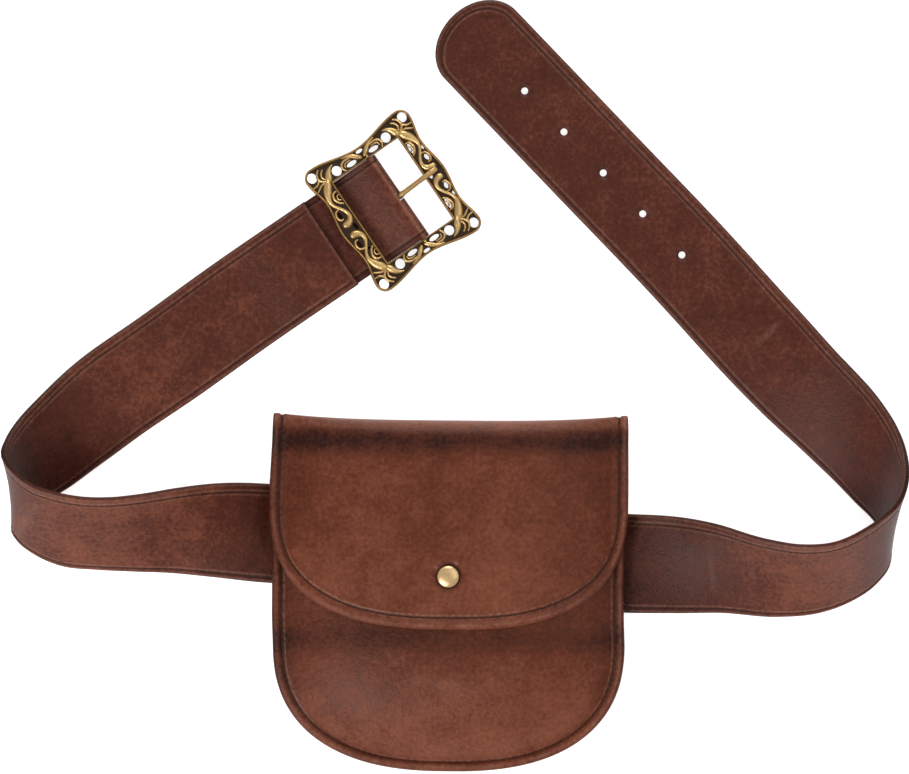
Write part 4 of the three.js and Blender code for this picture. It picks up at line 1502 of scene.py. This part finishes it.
@dataclass
class Buckle:
    """The cast openwork frame with its bar, the prong and the folded leather tab."""

    bar_radius: float = 1.2
    bar_offset: float = 1.8
    plate: float = 2.2
    window_length: float = 39.4
    tab_side: float = 0.75
    tab_ease_side: float = 0.25
    window_side: float = 0.4
    prong_width: float = 2.7
    prong_thick: float = 2.1
    side_middle: float = 31
    side_dip: float = 28.9
    side_dip_at: float = 17
    end_middle: float = 32
    corner_x: float = 25.8
    corner_y: float = 30.9
    corner_radius: float = 5.4
    ring_play: float = 0.15
    ring_wall: float = 0.95
    ring_width: float = 3
    prong_length: float = 25.2
    prong_askew: float = 2.5
    slot_play: float = 0.4
    slot_rise: float = 74
    slot_back: float = 6.8
    strap_to_buckle: float = 37.4
    tab_reach: float = 25
    tab_ease: float = 2
    tab_seam: float = 2.8
    tab_stitch_pitch: float = 2.9
    tab_thread: float = 0.55
    hole_sides: int = 22
    openings: tuple[Opening, ...] = (
        Opening(27.3, 31.9, 2.4, 2.6, 0),
        Opening(22.6, 0, 0.96, 1.9, 0),
        Opening(26.4, 8.6, 1.0, 1.7, 8),
        Opening(22.1, 16.4, 1.05, 2.9, 0),
        Opening(0, 30.0, 1.9, 0.85, 0),
        Opening(6.6, 26.9, 2.8, 1.2, 0),
        Opening(14.9, 28.1, 2.5, 2.6, -20),
        Opening(27.2, 14.2, 0.6, 1.6, 12),
    )
    scrolls: tuple[Scroll, ...] = (
        Scroll(
            (
                (22.3, 25.2, 1.9),
                (23.3, 23.9, 2.3),
                (25.3, 21.0, 2.1),
                (26.6, 17.4, 1.3),
                (26.0, 14.2, 0.9),
                (24.1, 11.3, 0.9),
                (22.5, 8.4, 1.05),
                (22.3, 5.9, 1.3),
                (23.5, 4.0, 1.7),
                (25.3, 3.1, 2.0),
                (26.7, 3.2, 1.7),
            ),
            1.7,
        ),
        Scroll(
            ((21.2, 19.9, 0.5), (23.1, 19.4, 0.7), (24.0, 16.9, 0.7), (22.9, 14.2, 0.6), (21.3, 12.9, 0.5)),
            1.1,
        ),
        Scroll(
            ((20.9, 18.0, 0.35), (22.1, 17.4, 0.45), (22.2, 15.6, 0.4), (21.2, 14.9, 0.35)),
            0.7,
        ),
        Scroll(
            ((25.0, 11.6, 0.5), (27.2, 11.0, 0.6), (28.1, 8.6, 0.6), (27.3, 6.4, 0.6), (25.9, 6.2, 0.5)),
            1.1,
        ),
        Scroll(
            ((20.9, 26.3, 1.6), (20.2, 27.5, 2.0), (19.1, 29.5, 1.6), (17.3, 31.2, 0.9), (15.4, 31.9, 0.5)),
            1.6,
        ),
        Scroll(
            ((10.9, 25.5, 0.5), (11.9, 27.2, 0.65), (11.4, 29.1, 0.7), (9.3, 30.2, 0.7), (6.5, 30.1, 0.7)),
            1.0,
        ),
        Scroll(
            ((9.4, 31.8, 0.4), (6.8, 31.2, 0.8), (4.4, 29.8, 1.3), (2.6, 28.2, 1.35), (1.3, 27.0, 1.0)),
            1.5,
        ),
        Scroll(
            ((22.7, 33.6, 0.5), (24.5, 31.9, 0.65), (25.1, 29.6, 0.7), (24.0, 27.6, 0.7), (22.4, 26.6, 0.6)),
            1.3,
        ),
        Scroll(
            ((29.3, 27.2, 0.5), (27.4, 27.3, 0.65), (25.8, 28.3, 0.7), (24.9, 29.6, 0.6)),
            1.2,
        ),
        Scroll(
            ((20.9, 32.6, 0.45), (22.4, 31.2, 0.6), (23.0, 29.4, 0.6), (22.3, 27.8, 0.6)),
            1.1,
        ),
        Scroll(
            ((28.6, 24.4, 0.45), (26.9, 25.4, 0.6), (25.2, 26.3, 0.6), (23.4, 26.3, 0.5)),
            1.1,
        ),
        Scroll(
            ((10.2, 27.0, 0.4), (9.9, 28.4, 0.5), (8.2, 28.9, 0.5), (6.4, 28.8, 0.4)),
            0.8,
        ),
    )

    prong_rows: tuple[ProngRow, ...] = (
        ProngRow(0.07, -0.2, 1.3, 1.0),
        ProngRow(0.13, 0.0, 1.3, 1.0),
        ProngRow(0.2, 0.2, 1.02, 1.0),
        ProngRow(0.36, 0.55, 1.0, 1.0),
        ProngRow(0.67, 1.0, 1.0, 1.0),
        ProngRow(0.85, 1.0, 1.1, 0.9),
        ProngRow(0.96, 1.0, 1.0, 0.6),
        ProngRow(0.99, 1.0, 0.75, 0.45),
    )

    def __post_init__(self) -> None:
        """Finds the bar and the way that the buckle lies from the frame's hinge."""
        hinge = next(j for j in frame["joints"] if j["name"] == "frame_hinge")
        self.bar = np.array(hinge["pos_m"]) / MM
        self.turn = math.atan2(-hinge["axis"][0], hinge["axis"][1])
        self.tab_width = STRAP_WIDTH - 2 * self.tab_side
        self.window_width = self.tab_width + 2 * self.window_side
        self.fold_radius = self.bar_radius + 2 * self.ring_play + self.ring_wall
        self.bar_height = self.fold_radius + TAB_THICK
        reach = self.corner_x + self.corner_radius - self.bar_offset
        self.tilt = math.asin((self.bar_height - self.plate / 2 - GAP / 3) / reach)
        turned = Matrix.Translation(Vector(self.bar)) @ Matrix.Rotation(self.turn, 4, "Z")
        self.flat_place = turned
        self.tilted_place = turned @ Matrix.Rotation(self.tilt, 4, "Y")

    def quarter(self) -> np.ndarray:
        """Draws the outline of one quarter.

        Returns:
            Its corners from the long side's middle to the short side's middle.
        """
        y = np.linspace(0, self.corner_y, 24)[:-1]
        dip = self.side_middle - (self.side_middle - self.side_dip) * smooth(y / self.side_dip_at)
        back = self.side_dip + (self.corner_x + self.corner_radius - self.side_dip) * smooth(
            (y - self.side_dip_at) / (self.corner_y - self.side_dip_at)
        )
        side = np.stack([np.where(y < self.side_dip_at, dip, back), y], 1)
        turn = np.radians(np.linspace(0, 90, 14))
        corner = np.stack([np.cos(turn), np.sin(turn)], 1) * self.corner_radius
        corner = corner + [self.corner_x, self.corner_y]
        share = np.linspace(1, 0, 24)[1:]
        drop = self.corner_y + self.corner_radius - self.end_middle
        end = np.stack([self.corner_x * share, self.end_middle + drop * smooth(share)], 1)
        return np.vstack([side, corner, end])

    def outline(self) -> np.ndarray:
        """Draws the whole outline.

        Returns:
            Its corners, counter-clockwise, none of them twice.
        """
        quarter = self.quarter()
        second = (quarter * [-1, 1])[::-1][1:]
        upper = np.vstack([quarter, second])
        lower = (upper * [1, -1])[::-1][1:-1]
        return np.vstack([upper, lower])

    def plate_shape(self) -> Shape:
        """Casts the pierced plate as a filled curve with rounded edges.

        Returns:
            The plate with its window and openings.
        """
        curve = bpy.data.curves.new("plate_draft", "CURVE")
        curve.dimensions = "2D"
        curve.fill_mode = "BOTH"
        bevel = 0.25
        curve.extrude = self.plate / 2 - bevel
        curve.bevel_depth = bevel
        curve.bevel_resolution = 1
        curve.offset = -bevel
        half_x, half_y = self.window_length / 2, self.window_width / 2
        window = [[-half_x, -half_y], [-half_x, half_y], [half_x, half_y], [half_x, -half_y]]
        loops = [self.outline(), np.array(window)]
        turn = np.linspace(0, -2 * math.pi, self.hole_sides, endpoint=False)
        for hole in self.openings:
            slant = math.radians(hole.slant)
            x, y = np.cos(turn) * hole.half_x, np.sin(turn) * hole.half_y
            slanted_x = x * math.cos(slant) - y * math.sin(slant)
            slanted_y = x * math.sin(slant) + y * math.cos(slant)
            base = np.stack([slanted_x, slanted_y], 1) + [hole.x, hole.y]
            flips = {(sx if hole.x else 1, sy if hole.y else 1) for sx in (1, -1) for sy in (1, -1)}
            loops.extend(base * flip for flip in sorted(flips))
        for loop in loops:
            spline = curve.splines.new("POLY")
            spline.points.add(len(loop) - 1)
            for point, (x, y) in zip(spline.points, loop):
                point.co = (x, y, 0, 1)
            spline.use_cyclic_u = True
        draft = bpy.data.objects.new("plate_draft", curve)
        bpy.context.scene.collection.objects.link(draft)
        bpy.context.view_layer.update()
        mesh = bpy.data.meshes.new_from_object(draft.evaluated_get(bpy.context.evaluated_depsgraph_get()))
        points = np.array([v.co for v in mesh.vertices])
        faces = [list(p.vertices) for p in mesh.polygons]
        bpy.data.objects.remove(draft)
        bpy.data.meshes.remove(mesh)
        return Shape(points, faces, {"crest": np.full(len(points), -0.55)})

    def wire(self, line: np.ndarray, sink: float, half: float, height: float, crest: float) -> Shape:
        """Bends a wire along a flat line on the plate.

        Args:
            line: its flat corners.
            sink: how far its middle lies below the plate's face.
            half: its half width.
            height: its half height.
            crest: how bright its middle is.

        Returns:
            The wire.
        """
        count = len(line)
        path = np.column_stack([line, np.full(count, self.plate / 2 - sink)])
        made = sweep(path, np.full(count, half), np.full(count, height), 10)
        made.values["crest"] = made.values["crest"] * 0.5 + crest
        return made

    def frame_shape(self) -> Shape:
        """Casts the frame.

        Returns:
            The plate with its rims, scrolls and bar, in its place.
        """
        shape = self.plate_shape()
        rim = inset_line(self.outline(), 0.65)
        closed = np.vstack([rim, rim[:2]])
        shape = shape.joined(self.wire(closed, sink=0.3, half=0.62, height=1.2, crest=-0.2))
        half_x, half_y = self.window_length / 2 + 0.55, self.window_width / 2 + 0.45
        corners = [(half_x, -half_y), (half_x, half_y), (-half_x, half_y), (-half_x, -half_y)]
        for i, start in enumerate(corners):
            end = corners[(i + 1) % 4]
            line = np.linspace(start, end, 30)
            shape = shape.joined(self.wire(line, sink=0.1, half=0.5, height=0.95, crest=-0.25))
        for scroll in self.scrolls:
            rows = rounded(list(scroll.rows), 7)
            heights = scroll.height * (0.55 + 0.45 * rows[:, 2] / rows[:, 2].max())
            for flip in ((1, 1), (-1, 1), (-1, -1), (1, -1)):
                path = np.column_stack([rows[:, :2] * flip, np.full(len(rows), self.plate / 2 - 0.2)])
                shape = shape.joined(sweep(path, rows[:, 2], heights))
        reach = self.window_width / 2 + 3
        bar = np.linspace([self.bar_offset, -reach, 0.0], [self.bar_offset, reach, 0.0], 20)
        radius = np.full(len(bar), self.bar_radius)
        shape = shape.joined(sweep(bar, radius, radius, 16))
        shape.points = shape.points - [self.bar_offset, 0, 0]
        return shape.moved(self.tilted_place)

    def prong_shape(self) -> Shape:
        """Forges the prong.

        Returns:
            The ring round the bar and the shaft that lies on the frame, in their place.
        """
        rest = self.plate / 2 + 1 + GAP
        curve = rounded([astuple(row) for row in self.prong_rows], 6)
        thick = self.prong_thick * curve[:, 3] / 2
        path = np.column_stack(
            [curve[:, 0] * self.prong_length, np.zeros(len(curve)), rest * curve[:, 1] + thick]
        )
        shaft = sweep(path, self.prong_width * curve[:, 2] / 2, thick, 16)
        inner, outer = self.bar_radius + self.ring_play, self.fold_radius - self.ring_play
        half = self.ring_width / 2
        profile = [(inner, -half), (outer - 0.2, -half), (outer, 0.2 - half), (outer, half - 0.2)]
        profile += [(outer - 0.2, half), (inner, half)]
        sides = 40
        angles = np.arange(sides) * 2 * math.pi / sides
        points = [
            np.stack([radius * np.cos(angles), np.full(sides, y), radius * np.sin(angles)], 1)
            for radius, y in profile
        ]
        faces = tube_faces(len(profile), sides, flipped=True, closed=True)
        ring = Shape(np.vstack(points), faces, {"crest": np.full(len(profile) * sides, 0.1)})
        askew = Matrix.Rotation(math.radians(self.prong_askew), 4, "Z")
        shaft.values["crest"] = 0.2 + 0.5 * shaft.values["crest"]
        return shaft.joined(ring).moved(self.tilted_place @ askew)

    def tab_line(self) -> tuple[np.ndarray, int, int]:
        """The tab's middle line round the bar.

        Returns:
            (m, 2) points of x and height from the bar, and the rows where the prong's slot starts and ends.
        """
        mid = TAB_THICK / 2
        radius = self.fold_radius + mid
        tail = -self.strap_to_buckle - self.bar_offset - self.tab_reach
        ease = self.tab_ease - self.bar_offset - self.window_length / 2
        upper = GAP + TAB_THICK - self.bar_height + mid
        below = np.linspace(tail, -self.slot_back, 24)
        under = np.linspace(-self.slot_back, 0, 8)[1:]
        first = np.radians(np.linspace(-90, self.slot_rise, 20))[1:]
        second = np.radians(np.linspace(self.slot_rise, 100, 9))[1:]
        top = np.stack([radius * np.cos(second), radius * np.sin(second)], 1)
        share = np.linspace(0, 1, 18)[1:]
        slope_x = top[-1, 0] + (ease - top[-1, 0]) * share
        slope_y = top[-1, 1] + (upper - top[-1, 1]) * smooth(share)
        back = np.linspace(ease, tail, 20)[1:]
        line = np.vstack(
            [
                np.stack([below, np.full(len(below), -radius)], 1),
                np.stack([under, np.full(len(under), -radius)], 1),
                np.stack([radius * np.cos(first), radius * np.sin(first)], 1),
                top,
                np.stack([slope_x, slope_y], 1),
                np.stack([back, np.full(len(back), upper)], 1),
            ]
        )
        start = len(below) - 1
        return line, start, start + len(under) + len(first)

    def tab_shape(self) -> tuple[Shape, np.ndarray, np.ndarray]:
        """The folded leather tab with its slot.

        Returns:
            The tab, its middle line's points and the outward direction at each, for the stitches.
        """
        line, start, end = self.tab_line()
        half = self.tab_width / 2 + self.tab_ease_side
        slot = self.ring_width / 2 + self.slot_play
        edge = np.array([0, 0.05, 0.2, 0.45, 0.8, 1.3, 1.8, 2.2, 2.6, 3.0, 3.4, 3.8, 4.6, 6.0])
        low = np.concatenate([edge - half, np.linspace(8 - half, -slot, 9)])
        across = np.concatenate([low, [0.0], -low[::-1]])
        along = np.gradient(line, axis=0)
        along /= np.linalg.norm(along, axis=1, keepdims=True)
        outward = np.column_stack([along[:, 1], -along[:, 0]])
        shape = (len(line), len(across))
        middle = np.empty((*shape, 3))
        middle[..., 0], middle[..., 2] = line[:, 0][:, None], line[:, 1][:, None]
        middle[..., 1] = across[None]
        normal = np.zeros((*shape, 3))
        normal[..., 0], normal[..., 2] = outward[:, 0][:, None], outward[:, 1][:, None]
        margin = np.broadcast_to(half - np.abs(across)[None], shape)
        thick = TAB_THICK / 2
        stand = thick * np.sqrt(np.clip(1 - (1 - np.minimum(margin / thick, 1)) ** 2, 0.001, 1))
        groove = bell(margin - self.tab_seam, 0.5)
        keep = np.ones((shape[0] - 1, shape[1] - 1), bool)
        first = len(low) - 1
        keep[start:end, first : first + 2] = False
        # Round the bar the fold gets a painted highlight near its top and painted shade on its far side;
        # painted highlights also lie on the bend and inside the seam, and the edges are dark
        turn = np.arctan2(line[:, 1], line[:, 0])[:, None]
        near_bar = np.hypot(line[:, 0], line[:, 1])[:, None] < 5
        fold = np.where(near_bar, 0.5 * bell(turn - 1.25, 0.35) - 0.6 * smooth(0.9 - turn), 0.0)
        values = {
            "tone": 0.05 + fold - 0.4 * bell(margin, 1.2),
            "rub": np.where(near_bar, 0.4 * bell(turn - 1.3, 0.25), 0.0) + 0.25 * bell(margin - 4.0, 0.5),
            "groove": groove + np.zeros(shape),
        }
        sheet = shell(middle, -normal, stand, stand - 0.15 * groove, keep, values)
        return sheet.moved(self.flat_place), line, outward

    def tab_stitches(self, line: np.ndarray, outward: np.ndarray) -> Shape:
        """Sews two rows of stitches along the tab, over the fold.

        Args:
            line: the points of the tab's middle line.
            outward: the direction out of the fold at each.

        Returns:
            Both rows.
        """
        lengths = np.concatenate([[0], np.cumsum(np.linalg.norm(np.diff(line, axis=0), axis=1))])
        place_matrix = np.array(self.flat_place, float)

        def place(flat: np.ndarray) -> tuple[np.ndarray, np.ndarray]:
            """Finds points of the tab's middle surface.

            Args:
                flat: (n, 2) lengths along the tab, and places across.

            Returns:
                The points and the outward normals.
            """
            x, z = (np.interp(flat[:, 0], lengths, line[:, k]) for k in range(2))
            nx, nz = (np.interp(flat[:, 0], lengths, outward[:, k]) for k in range(2))
            points = np.stack([x, flat[:, 1], z], 1) @ place_matrix[:3, :3].T + place_matrix[:3, 3]
            normal = np.stack([nx, np.zeros(len(nx)), nz], 1)
            normal /= np.linalg.norm(normal, axis=1, keepdims=True)
            return points, normal @ place_matrix[:3, :3].T

        margin = self.tab_width / 2 - self.tab_seam
        start, end = 4.0, lengths[-1] - 4.0
        stand = TAB_THICK / 2 - 0.1
        first, second = (
            stitches(
                place,
                np.array([[start, across], [end, across]]),
                Face.FRONT,
                stand,
                self.tab_stitch_pitch,
                self.tab_thread,
            )
            for across in (margin, -margin)
        )
        return first.joined(second)

    def build(
        self, leather: bpy.types.Material, thread: bpy.types.Material, brass: bpy.types.Material
    ) -> None:
        """Makes the buckle's pieces and lets each ride on its body.

        Args:
            leather: the tab's finish.
            thread: the stitches' finish.
            brass: the finish of the frame and the prong.
        """
        tab, line, outward = self.tab_shape()
        rows = [
            (self.frame_shape(), "buckle_frame_cast", ("buckle_frame",), "frame", brass, "buckle_brass"),
            (self.prong_shape(), "buckle_prong_cast", ("buckle_prong",), "prong", brass, "buckle_brass"),
            (tab, "buckle_tab_leather", TAB_NODES, "leather", leather, "belt_leather"),
        ]
        for shape, name, nodes, body, material, slot in rows:
            put(shape.to_object(name, material), body, slot, nodes)
        seam = self.tab_stitches(line, outward).to_object("buckle_tab_stitches", thread)
        put(seam, "leather", "belt_leather")


# The belt loop


@dataclass
class BeltLoop:
    """The plain strip behind the pouch, shown as the CAD part has it."""

    node_name: str = "belt_loop"

    def build(self, leather: bpy.types.Material) -> None:
        """Gives the CAD node its leather.

        Args:
            leather: the strip's finish.
        """
        node = frame["nodes"][self.node_name]
        node.data.materials.clear()
        node.data.materials.append(leather)
        log.info("belt_loop: dressed")


# The studio


@dataclass(frozen=True)
class Lamp:
    """A soft square light aimed at the part's middle: place and side in metres, power in watts."""

    name: str
    place: tuple[float, float, float]
    side: float
    power: float


@dataclass
class Studio:
    """The pale floor, the soft lights and the camera straight above."""

    image_width: int = 909
    millimetres_per_pixel: float = 0.5
    camera_height: float = 12.0
    sensor: float = 36.0
    floor_size: float = 6.0
    floor_color: tuple[float, float, float] = (0.93, 0.93, 0.93)
    floor_glow: float = 0.85
    floor_roughness: float = 0.9
    floor_drop: float = 0.0002
    sky: float = 0.35
    lamps: tuple[Lamp, ...] = (
        Lamp("key", (-0.9, -1.2, 1.4), 0.9, 21.0),
        Lamp("rim", (0.1, 2.0, 0.9), 0.9, 15.0),
        Lamp("fill", (1.2, 0.5, 1.8), 1.6, 6.0),
    )

    def floor(self) -> None:
        """Lays the floor just under the part."""
        bpy.ops.mesh.primitive_plane_add(size=self.floor_size, location=(0, 0, -self.floor_drop))
        plane = bpy.context.object
        plane.name = "floor"
        g = Graph("pale_floor")
        g.feed(g.shader.inputs["Base Color"], self.floor_color)
        g.feed(g.shader.inputs["Roughness"], self.floor_roughness)
        g.feed(g.shader.inputs["Emission Color"], self.floor_color)
        g.feed(g.shader.inputs["Emission Strength"], self.floor_glow)
        plane.data.materials.append(g.material)

    def lights(self) -> None:
        """Hangs the soft lights and sets the pale surroundings."""
        bpy.context.scene.view_settings.view_transform = "Standard"
        world = bpy.data.worlds.new("pale_room")
        bpy.context.scene.world = world
        world.use_nodes = True
        background = world.node_tree.nodes["Background"]
        background.inputs["Color"].default_value = (1, 1, 1, 1)
        background.inputs["Strength"].default_value = self.sky
        for lamp in self.lamps:
            data = bpy.data.lights.new(lamp.name, "AREA")
            data.size = lamp.side
            data.energy = lamp.power
            made = bpy.data.objects.new(lamp.name, data)
            made.location = lamp.place
            made.rotation_euler = (-Vector(lamp.place)).to_track_quat("-Z", "Y").to_euler()
            bpy.context.scene.collection.objects.link(made)

    def camera(self, aim: np.ndarray) -> None:
        """Hangs the camera straight above the photo's middle.

        Args:
            aim: that middle in the part's frame, in millimetres.
        """
        data = bpy.data.cameras.new("camera")
        data.sensor_width = self.sensor
        span = self.image_width * self.millimetres_per_pixel * MM
        data.lens = self.sensor * self.camera_height / span
        data.clip_end = 100
        camera = bpy.data.objects.new("camera", data)
        camera.location = (aim[0] * MM, aim[1] * MM, self.camera_height)
        bpy.context.scene.collection.objects.link(camera)
        bpy.context.scene.camera = camera


def main() -> None:
    """Builds the object and its studio."""
    logging.basicConfig(level=logging.INFO, format="%(name)s: %(message)s")
    belt_leather = LeatherFinish("belt_leather", middle=tint(90, 42, 28)).material()
    pouch_leather = LeatherFinish("pouch_leather").material()
    thread = ThreadFinish("waxed_thread").material()
    buckle_brass = BrassFinish("buckle_brass").material()
    stud_brass = BrassFinish("stud_brass", body=tint(196, 148, 98), bright=tint(255, 216, 160)).material()
    belt = Belt()
    belt.build(belt_leather, thread)
    Pouch().build(pouch_leather, thread, stud_brass)
    Buckle().build(belt_leather, thread, buckle_brass)
    BeltLoop().build(belt_leather)
    studio = Studio()
    studio.floor()
    studio.lights()
    studio.camera(belt.shift)


if __name__ == "__main__":
    main()
